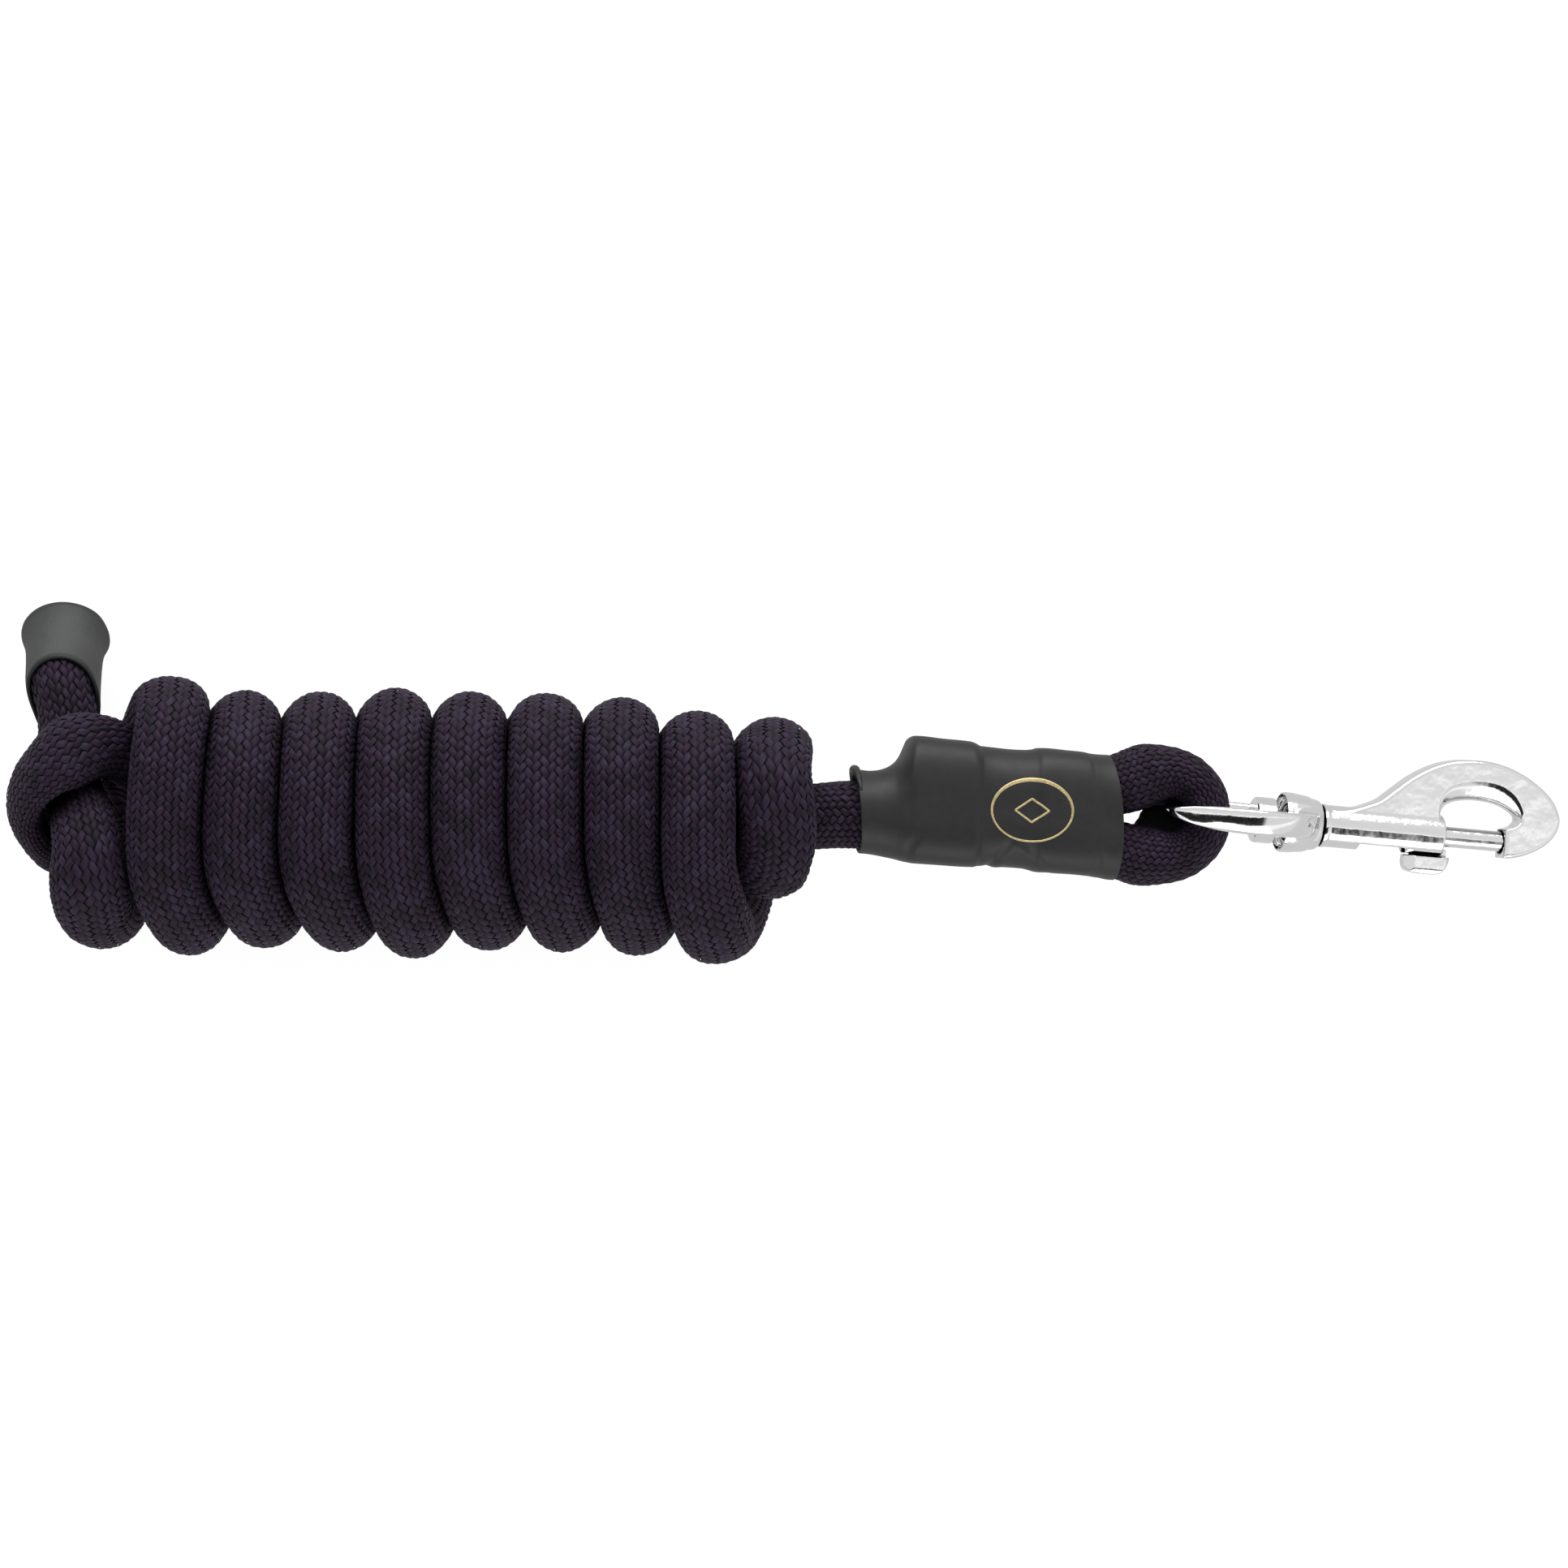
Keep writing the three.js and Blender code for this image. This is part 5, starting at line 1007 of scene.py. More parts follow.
def sleeve_relief(along, across, middle, top):
    """Height of the sinks, ridges and creases over the plain section."""
    over = between(12, 15, 29.5, 33, along) + between(47, 50, 62, 66, along)
    # tube sinks a little between the two rope legs, except over the ferrules
    dip = np.exp(-((across - middle) / 5.2) ** 2) * (1 - over) * rise(8, 14, along)
    relief = -0.55 * dip
    # edges of the pressed ferrules show through on the top
    for edge in FERRULE_EDGES:
        relief = relief + 0.10 * np.exp(-((along - edge) / 1.1) ** 2) * top
    for height, place, place_across, reach, reach_across, turn, on_top in CREASES:
        cos, sin = math.cos(turn), math.sin(turn)
        off, off_across = along - place, across - place_across
        fore = (off * cos + off_across * sin) / reach
        side = (-off * sin + off_across * cos) / reach_across
        crease = height * np.exp(-fore * fore - side * side)
        relief = relief + (crease * top if on_top else crease)
    ripple = np.sin(along * 0.31 + across * 0.17 + 1.2) * np.sin(across * 0.29 - along * 0.11)
    return relief + 0.10 * ripple * (1 - 0.4 * over)


def sleeve_point(along, angle, lift=0.0):
    """Angle is 0 at the +y edge and 90 degrees on the top, towards the camera."""
    along, angle = np.broadcast_arrays(np.asarray(along, float), np.asarray(angle, float))
    shape = along.shape
    along, angle = along.ravel(), angle.ravel()
    middle, half, depth, power = sleeve_section(along)
    sin = np.sin(angle)
    unit_across = signed_power(np.cos(angle), 2.0 / power)
    unit_up = signed_power(sin, 2.0 / power)
    across, up = middle + half * unit_across, depth * unit_up
    top = np.clip(sin, 0, 1) ** 0.7
    raised = sleeve_relief(along, across, middle, top) + lift
    # outward direction of the oblong section
    out_across = signed_power(unit_across, power - 1) / np.maximum(half, 1)
    out_up = signed_power(unit_up, power - 1) / np.maximum(depth, 1)
    length = np.maximum(np.hypot(out_across, out_up), 1e-6)
    across = across + out_across / length * raised
    up = up + out_up / length * raised
    # the +x cut is slightly bowed, the -x mouth is cut at a tilt
    bow = rise(55, 71.9, along) * (0.9 - 0.0058 * (across + 3.0) ** 2 - 0.035 * across)
    tilt = fall(0, 12, along) * (-0.10 * across - 0.5)
    along = along + bow + tilt * 0.9
    points = (SLEEVE_START + along[:, None] * SLEEVE_ALONG + across[:, None] * SLEEVE_ACROSS
              + up[:, None] * SLEEVE_UP)
    return points.reshape(shape + (3,))


def shrink_sleeve():
    around, wall, lip_rows = 200, 0.85, 7
    along = np.concatenate([
        np.linspace(0, 3.0, 14)[:-1], np.linspace(3.0, 68.5, 190),
        np.linspace(68.5, SLEEVE_LENGTH, 12)[1:]])
    # even spacing round the oblong section
    fine_angle = np.linspace(0, TURN, 721)
    arc = path_length(sleeve_point(np.full(721, 20.0), fine_angle))
    angle = np.interp(np.linspace(0, arc[-1], around + 1)[:-1], arc, fine_angle)
    alongs, angles = np.meshgrid(along, angle, indexing="ij")
    outer = sleeve_point(alongs, angles)
    inner = sleeve_point(alongs, angles, -wall)

    def lip(end, direction, bulge):
        """Rounded rows joining the outside to the inside."""
        middle = (outer[end] + inner[end]) / 2
        radius = (outer[end] - inner[end]) / 2
        length = np.linalg.norm(radius, axis=1, keepdims=True)
        return [
            middle + radius * math.cos(turn) + direction * length * math.sin(turn) * bulge
            for turn in np.linspace(0, math.pi, lip_rows + 2)[1:-1]]

    start_lip = lip(0, -SLEEVE_ALONG, bulge=0.9)
    end_lip = lip(-1, SLEEVE_ALONG, bulge=0.55)
    rows = np.stack(list(outer) + end_lip + list(inner[::-1]) + start_lip[::-1])
    faces = grid_faces(len(rows), around, wrap_rows=True, wrap_cols=True)
    make_mesh("shrink_sleeve", rows.reshape(-1, 3), [faces], SLEEVE, "rope",
              replaces="splice_sleeve", tidy=True)


def sleeve_rolled_lip():
    """Rolled edge on the -x mouth, round its +y side."""
    length, around = 70, 14
    angle = np.linspace(-0.95, 1.05, length)
    base = sleeve_point(np.full(length, 0.4), angle)
    on_axis = SLEEVE_START + ((base - SLEEVE_START) @ SLEEVE_ALONG)[:, None] * SLEEVE_ALONG
    out = unit(base - on_axis)
    fade = np.cos((angle - 0.05) / 1.02 * math.pi / 2).clip(0, 1) ** 0.8
    radius = 0.25 + 0.95 * fade
    centre = base + out * (radius * 0.2)[:, None] - SLEEVE_ALONG * (radius * 0.35)[:, None]
    rows = np.stack([
        centre + out * (radius * math.cos(turn))[:, None] * 0.85
        + SLEEVE_ALONG * (radius * math.sin(turn))[:, None]
        for turn in np.linspace(0, TURN, around + 1)[:-1]])
    verts = np.concatenate([rows.reshape(-1, 3), [rows[:, 0].mean(0), rows[:, -1].mean(0)]])
    ring = np.arange(around) * length
    fans = cap_fans(ring, ring + length - 1, around * length, flip=True)
    faces = [grid_faces(around, length, wrap_rows=True, flip=True)] + fans
    make_mesh("sleeve_rolled_lip", verts, faces, SLEEVE, "rope", tidy=True)


shrink_sleeve()
sleeve_rolled_lip()

# ---------------------------------------------- plain gold line ornament on the sleeve
FOIL_CENTRE = np.array([45.8, 1.5])     # along and across the sleeve
OVAL_HALF = (11.0, 8.4)
LOZENGE_HALF = (4.6, 3.2)
LOZENGE_LINE = 0.55
# section of a foil line: place across as a share of its width, lift over the sleeve
FOIL_SECTION = ((-0.5, -0.12), (-0.5, 0.05), (-0.3, 0.11), (0.0, 0.13), (0.3, 0.11),
                (0.5, 0.05), (0.5, -0.12), (0.0, -0.14))


def top_angle(along, across):
    """Angle of the sleeve point on its top that lies at `across`."""
    middle, half, _, power = sleeve_section(along)
    share = np.clip((across - middle) / half, -0.999, 0.999)
    return np.arccos(np.clip(signed_power(share, power / 2), -1, 1))


def foil_line(name, line, width):
    """A thin raised closed line through (along, across) points."""
    heading = unit(np.roll(line, -1, 0) - np.roll(line, 1, 0))
    sideways = np.stack([-heading[:, 1], heading[:, 0]], 1)
    rows = []
    for share, lift in FOIL_SECTION:
        along, across = (line + sideways * (width * share)[:, None]).T
        rows.append(sleeve_point(along, top_angle(along, across), lift))
    verts = np.stack(rows, 1).reshape(-1, 3)
    faces = grid_faces(len(line), len(rows), wrap_rows=True, wrap_cols=True, flip=True)
    make_mesh(name, verts, [faces], GOLD, "rope")


def foil_ornament():
    turn = np.linspace(0, TURN, 161)[:-1]
    oval = FOIL_CENTRE + np.stack([np.cos(turn), np.sin(turn)], 1) * OVAL_HALF
    foil_line("foil_oval", oval, 0.50 + 0.55 * (0.5 + 0.5 * np.sin(turn)) ** 1.5)
    corners = FOIL_CENTRE + np.array([(-1, 0), (0, 1), (1, 0), (0, -1), (-1, 0)]) * LOZENGE_HALF
    part = np.linspace(0, 1, 25)[:-1, None]
    lozenge = np.concatenate(
        [corners[k] * (1 - part) + corners[k + 1] * part for k in range(4)])
    foil_line("foil_lozenge", lozenge, np.full(len(lozenge), LOZENGE_LINE))


foil_ornament()

# ----------------------------------------------------------------------- end cap
CAP_DEPTH = 17.6        # from the mouth to the inside of the closed end
CAP_RIBS = 116
CAP_BORE = STATIONS[-1, 3] + 0.35


def cap_profile():
    """Rows of (along from the mouth, radius, painted edge shade), inside first."""
    bore = CAP_BORE
    rows = np.array([
        (CAP_DEPTH, 0.0, 0), (CAP_DEPTH, bore - 1.2, 0), (17.2, bore - 0.5, 0),
        (8.0, bore - 0.12, 0.2), (1.6, bore, 0.6), (0.55, bore + 0.12, 1),
        (0.12, bore + 0.38, 1), (0.0, bore + 0.72, 1), (0.18, bore + 1.05, 1),
        (0.7, bore + 1.24, 1), (1.3, bore + 1.24, 0.8), (1.9, bore + 1.20, 0),
        (3.0, bore + 1.12, 0), (6.0, bore + 1.10, 0), (9.0, bore + 1.18, 0),
        (11.5, bore + 1.36, 0), (13.5, bore + 1.64, 0), (15.2, bore + 2.02, 0),
        (16.6, bore + 2.42, 0), (17.6, bore + 2.74, 0.1), (18.3, bore + 2.92, 0.45),
        (18.9, bore + 2.98, 0.75), (19.5, bore + 2.92, 0.8), (20.05, bore + 2.66, 0.6),
        (20.4, bore + 2.2, 0.25), (20.56, bore + 1.4, 0), (20.6, bore - 1.0, 0),
        (20.6, 4.0, 0), (20.6, 0.0, 0),
    ])
    # extra rows along the outer wall, inside the mouth and on the end face
    fine = [rows[0]]
    for k in range(1, len(rows)):
        cuts = 4 if 10 <= k <= 20 else (3 if k in (3, 4, 26, 27) else 1)
        for cut in range(1, cuts + 1):
            fine.append(rows[k - 1] + (rows[k] - rows[k - 1]) * cut / cuts)
    return np.array(fine)


def end_cap():
    before, tail_end = STATIONS[-2:, :3]
    heading = unit(tail_end - before)
    mouth = tail_end + heading * (-CAP_DEPTH + 0.3)
    up = unit(np.array([0.0, 0.0, 1.0]) - heading[2] * heading)
    across = np.cross(heading, up)
    profile = cap_profile()
    along, radius = profile[:, :1], profile[:, 1:2]
    around = CAP_RIBS * 4
    angle = np.arange(around) / around * 2 * math.pi
    # fine lengthwise ribs on the outer wall, fading at both ends
    ribbed = (radius > CAP_BORE + 1.0) * between(0.8, 2.2, 17.0, 18.6, along)
    radii = radius + 0.085 * (np.cos(angle * CAP_RIBS) * 0.5 - 0.5) * ribbed
    # slightly out of round, as pressed rubber is
    radii = radii * (1 + 0.008 * np.cos(2 * angle + 0.6))
    spoke = np.cos(angle)[:, None] * up + np.sin(angle)[:, None] * across
    points = mouth + along[..., None] * heading + spoke * radii[..., None]
    # the mouth is cut at a slant: shortest on the side that faces up
    slant = np.minimum(4.2 * (1 - np.cos(angle)), 6.5) * fall(0.0, 15.0, along) * (radius > 1.0)
    points = points - slant[..., None] * heading
    points = settle(points.reshape(-1, 3)).reshape(points.shape)
    rings = points[1:-1]
    verts = np.concatenate([rings.reshape(-1, 3), [points[0].mean(0), points[-1].mean(0)]])
    # painted edge shade for each ring of the cap
    edge = np.concatenate([np.repeat(profile[1:-1, 2], around), [0, 0]])
    make_mesh("end_cap", verts, tube_faces(len(rings), around), CAP, "rope",
              attrs={"edge": edge}, replaces="tail_cap", tidy=True)


end_cap()

# ------------------------------------------------------- cast and plated parts
# Signed distance shapes meshed on a fine lattice, then pulled onto the exact
# surface, so that castings keep their soft fillets.  Their own x runs along the
# snap from the centre of the ring, and their z faces up.
SNAP_CENTRE = np.array([125.43, -9.36, 21.6])
SNAP_YAW = math.radians(-5.2)
SNAP_PITCH = math.radians(10.85)
RING_ROLL = math.radians(2.5)


def snap_turns():
    """Turn of the snap, and that of the ring, which rolls a little more about x."""
    cos, sin = math.cos(SNAP_YAW), math.sin(SNAP_YAW)
    yaw = np.array([[cos, -sin, 0], [sin, cos, 0], [0, 0, 1.0]])
    cos, sin = math.cos(SNAP_PITCH), math.sin(SNAP_PITCH)
    pitch = np.array([[cos, 0, sin], [0, 1.0, 0], [-sin, 0, cos]])
    cos, sin = math.cos(RING_ROLL), math.sin(RING_ROLL)
    roll = np.array([[1.0, 0, 0], [0, cos, -sin], [0, sin, cos]])
    snap = yaw @ pitch
    return snap, snap @ roll


SNAP_TURN, RING_TURN = snap_turns()


def place(points, turn):
    return SNAP_CENTRE + points @ turn.T


def lattice_surface(distance, low, high, lattice):
    """One vertex for each lattice cell the surface crosses, and the quads between them."""
    axes = [np.arange(low[k], high[k] + lattice, lattice) for k in range(3)]
    field = distance(*np.meshgrid(*axes, indexing="ij"))
    inside = field < 0
    sides = (slice(0, -1), slice(1, None))
    corners = list(np.ndindex(2, 2, 2))
    count = sum(inside[sides[a], sides[b], sides[c]].astype(np.int8) for a, b, c in corners)
    active = (count > 0) & (count < 8)
    cells = np.argwhere(active)
    index = np.full(active.shape, -1)
    index[active] = np.arange(len(cells))
    total = np.zeros((len(cells), 3))
    weight = np.zeros(len(cells))
    for corner in corners:
        for axis in range(3):
            if corner[axis] == 1:
                continue
            start, end = np.array(corner), np.array(corner)
            end[axis] = 1
            at_start = field[tuple((cells + start).T)]
            at_end = field[tuple((cells + end).T)]
            crossed = (at_start < 0) != (at_end < 0)
            points = np.tile(start.astype(float), (len(cells), 1))
            drop = np.where(crossed, at_start - at_end, 1)
            points[:, axis] = np.where(crossed, at_start / drop, 0)
            total += points * crossed[:, None]
            weight += crossed
    verts = (cells + total / weight[:, None]) * lattice + np.array(low)

    quads = []
    for axis in range(3):
        edges = np.argwhere(np.diff(inside, axis=axis))
        side1, side2 = (axis + 1) % 3, (axis + 2) % 3
        for side in (side1, side2):
            edges = edges[(edges[:, side] > 0) & (edges[:, side] < inside.shape[side] - 1)]
        ring = []
        for step1, step2 in ((-1, -1), (0, -1), (0, 0), (-1, 0)):
            cell = edges.copy()
            cell[:, side1] += step1
            cell[:, side2] += step2
            ring.append(index[tuple(cell.T)])
        ring = np.stack(ring, 1)
        leaving = inside[tuple(edges.T)]
        ring[~leaving] = ring[~leaving][:, ::-1]
        quads.append(ring)
    return verts, np.concatenate(quads)


def gradient(distance, points, reach):
    slope = np.zeros_like(points)
    for k in range(3):
        ahead, behind = points.copy(), points.copy()
        ahead[:, k] += reach
        behind[:, k] -= reach
        slope[:, k] = (distance(*ahead.T) - distance(*behind.T)) / (2 * reach)
    return slope


def mesh_distance(distance, low, high, lattice):
    """Vertices, quads and normals of the surface distance = 0 (negative inside)."""
    verts, quads = lattice_surface(distance, low, high, lattice)
    for _ in range(4):
        slope = gradient(distance, verts, 0.03)
        off = distance(*verts.T)
        step = slope * (off / np.maximum((slope * slope).sum(1), 0.15))[:, None]
        length = np.linalg.norm(step, axis=1, keepdims=True)
        verts = verts - step * np.minimum(1, 0.5 * lattice / np.maximum(length, 1e-9))
    return verts, quads, unit(gradient(distance, verts, 0.06))


def join(first, second, blend):
    """Union with a fillet."""
    part = np.clip(0.5 + 0.5 * (second - first) / blend, 0, 1)
    return second * (1 - part) + first * part - blend * part * (1 - part)


def meet(first, second, blend):
    """Intersection with a soft edge."""
    return -join(-first, -second, blend)


def cut(solid, tool, blend):
    return meet(solid, -tool, blend)


def rod(x, y, z, start, end, radius, rounding):
    """Round bar along x."""
    out = np.hypot(y, z) - radius + rounding
    past = np.abs(x - (start + end) / 2) - (end - start) / 2 + rounding
    return (np.minimum(np.maximum(out, past), 0)
            + np.hypot(np.maximum(out, 0), np.maximum(past, 0)) - rounding)


def box(x, y, z, centre, size, rounding):
    past = [np.abs(v - centre[k]) - size[k] / 2 + rounding for k, v in enumerate((x, y, z))]
    out = [np.maximum(v, 0) for v in past]
    return (np.minimum(np.maximum(np.maximum(past[0], past[1]), past[2]), 0)
            + np.sqrt(out[0] ** 2 + out[1] ** 2 + out[2] ** 2) - rounding)


def closed_curve(rows, steps=8):
    """Closed centripetal curve through (x, y[, 1]) rows; rows marked 1 keep their corner."""
    points = np.array([row[:2] for row in rows], float)
    sharp = [len(row) > 2 for row in rows]
    count = len(points)

    def blend(first, second, start, end, at):
        return (end - at) / (end - start) * first + (at - start) / (end - start) * second

    curve = []
    for i in range(count):
        p0, p1, p2, p3 = (points[(i + k) % count] for k in (-1, 0, 1, 2))
        if sharp[i]:
            p0 = 2 * p1 - p2
        if sharp[(i + 1) % count]:
            p3 = 2 * p2 - p1
        knots = [0.0]
        for first, second in ((p0, p1), (p1, p2), (p2, p3)):
            knots.append(knots[-1] + max(np.linalg.norm(second - first), 1e-6) ** 0.5)
        t0, t1, t2, t3 = knots
        for j in range(steps):
            at = t1 + (t2 - t1) * j / steps
            a1 = blend(p0, p1, t0, t1, at)
            a2 = blend(p1, p2, t1, t2, at)
            a3 = blend(p2, p3, t2, t3, at)
            b1 = blend(a1, a2, t0, t2, at)
            b2 = blend(a2, a3, t1, t3, at)
            curve.append(blend(b1, b2, t1, t2, at))
    return np.array(curve)


class Outline:
    """Signed distance to a closed outline, read from a fine table."""

    LOW, HIGH, STEP = (18.0, -16.0), (98.0, 28.0), 0.2

    def __init__(self, rows):
        points = closed_curve(rows)
        axes = [np.arange(self.LOW[k], self.HIGH[k] + self.STEP, self.STEP) for k in range(2)]
        x, y = np.meshgrid(*axes, indexing="ij")
        squared = np.full(x.shape, 1e9)
        sign = np.ones(x.shape)
        for i in range(len(points)):
            here, before = points[i], points[i - 1]
            edge_x, edge_y = before - here
            off_x, off_y = x - here[0], y - here[1]
            edge_squared = max(edge_x * edge_x + edge_y * edge_y, 1e-12)
            part = np.clip((off_x * edge_x + off_y * edge_y) / edge_squared, 0, 1)
            near_x, near_y = off_x - edge_x * part, off_y - edge_y * part
            squared = np.minimum(squared, near_x * near_x + near_y * near_y)
            above, below = y >= here[1], y < before[1]
            beside = edge_x * off_y > edge_y * off_x
            crossed = (above & below & beside) | (~above & ~below & ~beside)
            sign = np.where(crossed, -sign, sign)
        self.table = sign * np.sqrt(squared)

    def __call__(self, x, y):
        along = np.clip((x - self.LOW[0]) / self.STEP, 0, self.table.shape[0] - 1.001)
        across = np.clip((y - self.LOW[1]) / self.STEP, 0, self.table.shape[1] - 1.001)
        row, col = along.astype(int), across.astype(int)
        return bilinear(self.table, row, col, col + 1, along - row, across - col)


# Outlines: x, y, and 1 at a sharp corner.
HOOK = Outline([
    (25.0, 0.0, 1), (25.0, 4.6, 1), (30.5, 5.4), (34.3, 6.7), (38.5, 8.6), (42.6, 12.0),
    (47.2, 15.8), (52.9, 19.2), (58.8, 21.2), (64.3, 21.8), (70.3, 21.6), (76.6, 20.0),
    (83.0, 16.8), (87.8, 12.9), (90.1, 9.2), (90.65, 6.8), (89.8, 3.4), (87.0, 0.0),
    (81.6, -3.1), (77.6, -4.3), (75.0, -4.5, 1), (74.9, 3.75, 1), (57.3, 3.75, 1),
    (57.3, 0.0, 1),
])
HOLE_MIDDLE = Outline([
    (56.4, 3.2, 1), (56.6, 6.2), (57.6, 8.3), (60.2, 9.8), (64.0, 10.6), (68.0, 10.7),
    (72.0, 10.2), (75.6, 8.9), (78.0, 7.2), (78.7, 5.9), (78.2, 4.7), (76.2, 3.9),
    (74.6, 3.5, 1), (73.6, 3.2, 1),
])
HOLE_FACE = Outline([
    (55.4, 3.2, 1), (55.2, 7.4), (55.8, 10.8), (58.2, 13.4), (62.6, 14.9), (66.9, 15.5),
    (71.4, 15.1), (75.0, 13.6), (78.0, 10.8), (79.4, 7.8), (79.2, 5.8), (77.6, 4.3),
    (75.6, 3.6), (74.2, 3.4, 1), (73.6, 3.2, 1),
])
THUMB_PAD = Outline([
    (46.9, -5.8, 1), (46.8, -7.9), (47.3, -9.3), (48.4, -10.2), (51.3, -10.75),
    (54.0, -10.8), (56.6, -10.6), (58.0, -9.9), (59.0, -8.4), (59.8, -6.9), (59.9, -5.8, 1),
])
HOOK_HALF_DEPTH = 4.1
HOOK_ROUNDING = 1.25
HOLE_FLARE = 0.55       # sine of the arc the hole's wall follows from middle to face
PAD_HALF_DEPTH = 3.3
RING_RADIUS = 18.55

# Rods: start x, end x, radius, rounding.
BARREL = (22.45, 57.4, 5.8, 0.6)
BARREL_COLLAR = (22.7, 24.0, 5.95, 0.5)
STEM = (8.0, 25.0, 3.1, 0.3)
RIVET_HEAD = (3.3, 9.4, 6.3, 1.0)
SPRING_BORE = (27.9, 62.0, 3.2, 0.2)
BOLT_SOCKET = (72.0, 76.4, 3.2, 0.2)
RING_HEAD_ROOM = (-5.0, 12.9, 6.75, 0.4)
RING_STEM_HOLE = (4.0, 30.0, 3.55, 0.2)
BOLT = (47.2, 75.7, 2.8, 0.45)
BOLT_NOSE = (45.6, 48.2, 1.55, 0.4)
# Boxes: centre, size, rounding.
BARREL_SLOTS = (
    ((47.5, -6.0, 0), (27.0, 9.0, 3.6), 0.7),
    ((40.0, -5.6, 0), (13.4, 4.6, 5.4), 0.3),
    ((40.2, -6.6, 0), (13.8, 5.0, 8.6), 0.5),
)
BOLT_NOTCH = ((53.3, -2.6, 0), (4.6, 4.0, 3.4), 0.3)
THUMB_NECK = ((54.2, -5.4, 0), (10.0, 3.4, 2.9), 0.35)
THUMB_FOOT = ((53.3, -3.9, 0), (4.0, 6.4, 2.8), 0.3)
# half width of the ring along y by angle from its collar
RING_HALF_WIDTH = (
    [0.0, 1.0, 1.57, 2.09, 2.45, 2.75, 3.0, 3.1416],
    [3.4, 3.45, 3.5, 3.3, 2.75, 2.15, 1.75, 1.65],
)
# radius of the ring's collar by x
RING_COLLAR = (
    [7.5, 9.6, 10.6, 12.0, 14.0, 16.0, 18.2, 19.4, 21.0, 21.8, 22.3, 23.5],
    [7.3, 7.6, 7.9, 8.3, 8.25, 8.0, 7.7, 7.2, 6.9, 6.5, 5.8, 4.5],
)


def snap_distance(x, y, z):
    # plate with a soft outer edge
    depth = np.abs(z)
    out, past = HOOK(x, y) + HOOK_ROUNDING, depth - HOOK_HALF_DEPTH + HOOK_ROUNDING
    plate = (np.minimum(meet(out, past, 0.8), 0)
             + np.hypot(np.maximum(out, 0), np.maximum(past, 0)) - HOOK_ROUNDING)
    # hole that widens from the middle to both faces
    sine = np.minimum(depth / HOOK_HALF_DEPTH, 1.0) * HOLE_FLARE
    part = (1 - np.sqrt(1 - sine * sine)) / (1 - math.sqrt(1 - HOLE_FLARE ** 2))
    hole = HOLE_MIDDLE(x, y) * (1 - part) + HOLE_FACE(x, y) * part
    plate = cut(plate, hole * 0.75, 0.45)
    barrel = join(rod(x, y, z, *BARREL), rod(x, y, z, *BARREL_COLLAR), 0.4)
    body = join(plate, barrel, 0.7)
    # the rivet head has a shallow dimple on its end
    dimple = np.sqrt((x - 0.4) ** 2 * 1.6 + y * y + z * z) - 4.3
    head = cut(rod(x, y, z, *RIVET_HEAD), dimple, 0.6)
    body = join(body, join(rod(x, y, z, *STEM), head, 0.5), 0.6)
    slot = box(x, y, z, *BARREL_SLOTS[0])
    for step in BARREL_SLOTS[1:]:
        slot = np.minimum(slot, box(x, y, z, *step))
    for tool in (rod(x, y, z, *SPRING_BORE), slot, rod(x, y, z, *BOLT_SOCKET)):
        body = cut(body, tool, 0.25)
    return body


def ring_distance(x, y, z):
    radius = np.hypot(x, z)
    angle = np.abs(np.arctan2(z, x))
    half = monotone_curve(*RING_HALF_WIDTH, angle)
    thick = 2.65 - 0.15 * rise(2.2, 3.0, angle)
    # outer face is crowned, its crest lying a little towards +y
    share = np.clip(y / half, -1.2, 1.2)
    outer_crown = 0.85 * (share - 0.45) ** 2 - 0.12
    crown = np.where(radius > RING_RADIUS, outer_crown, 0.35 * share * share)
    rounding = 0.85
    out = np.abs(radius - RING_RADIUS) - thick + crown + rounding
    past = np.abs(y) - half + rounding
    ring = (np.minimum(meet(out, past, 0.5), 0)
            + np.hypot(np.maximum(out, 0), np.maximum(past, 0)) - rounding) * 0.92
    collar_radius = np.hypot(y, z * 1.02)
    profile = np.interp(x, *RING_COLLAR)
    collar = meet((collar_radius - profile) * 0.9, np.abs(x - 15.95) - 6.3, 0.9)
    # the collar's end face is dished, leaving a deep gap round the rivet head
    dish = collar_radius * 0.80 - (13.9 - x) * 0.60 * 2.0 - 3.0
    collar = cut(collar, np.maximum(dish, x - 13.4), 0.4)
    # the ring's inside stays open round the head
    both = cut(join(ring, collar, 1.6), rod(x, y, z, *RING_HEAD_ROOM), 0.4)
    return cut(both, rod(x, y, z, *RING_STEM_HOLE), 0.3)


def flatten_shoulder(verts, normals):
    """The shoulder away from the collar is shaded flatter than it is round."""
    amount = rise(8.0, 18.0, -verts[:, 0]) * rise(0.0, 3.0, verts[:, 2])
    normals = normals.copy()
    normals[:, 0] *= 1 - 0.70 * amount
    normals[:, 1] *= 1 - 0.75 * amount
    return unit(normals)


def bolt_distance(x, y, z):
    bolt = join(rod(x, y, z, *BOLT), rod(x, y, z, *BOLT_NOSE), 0.3)
    return cut(bolt, box(x, y, z, *BOLT_NOTCH), 0.2)


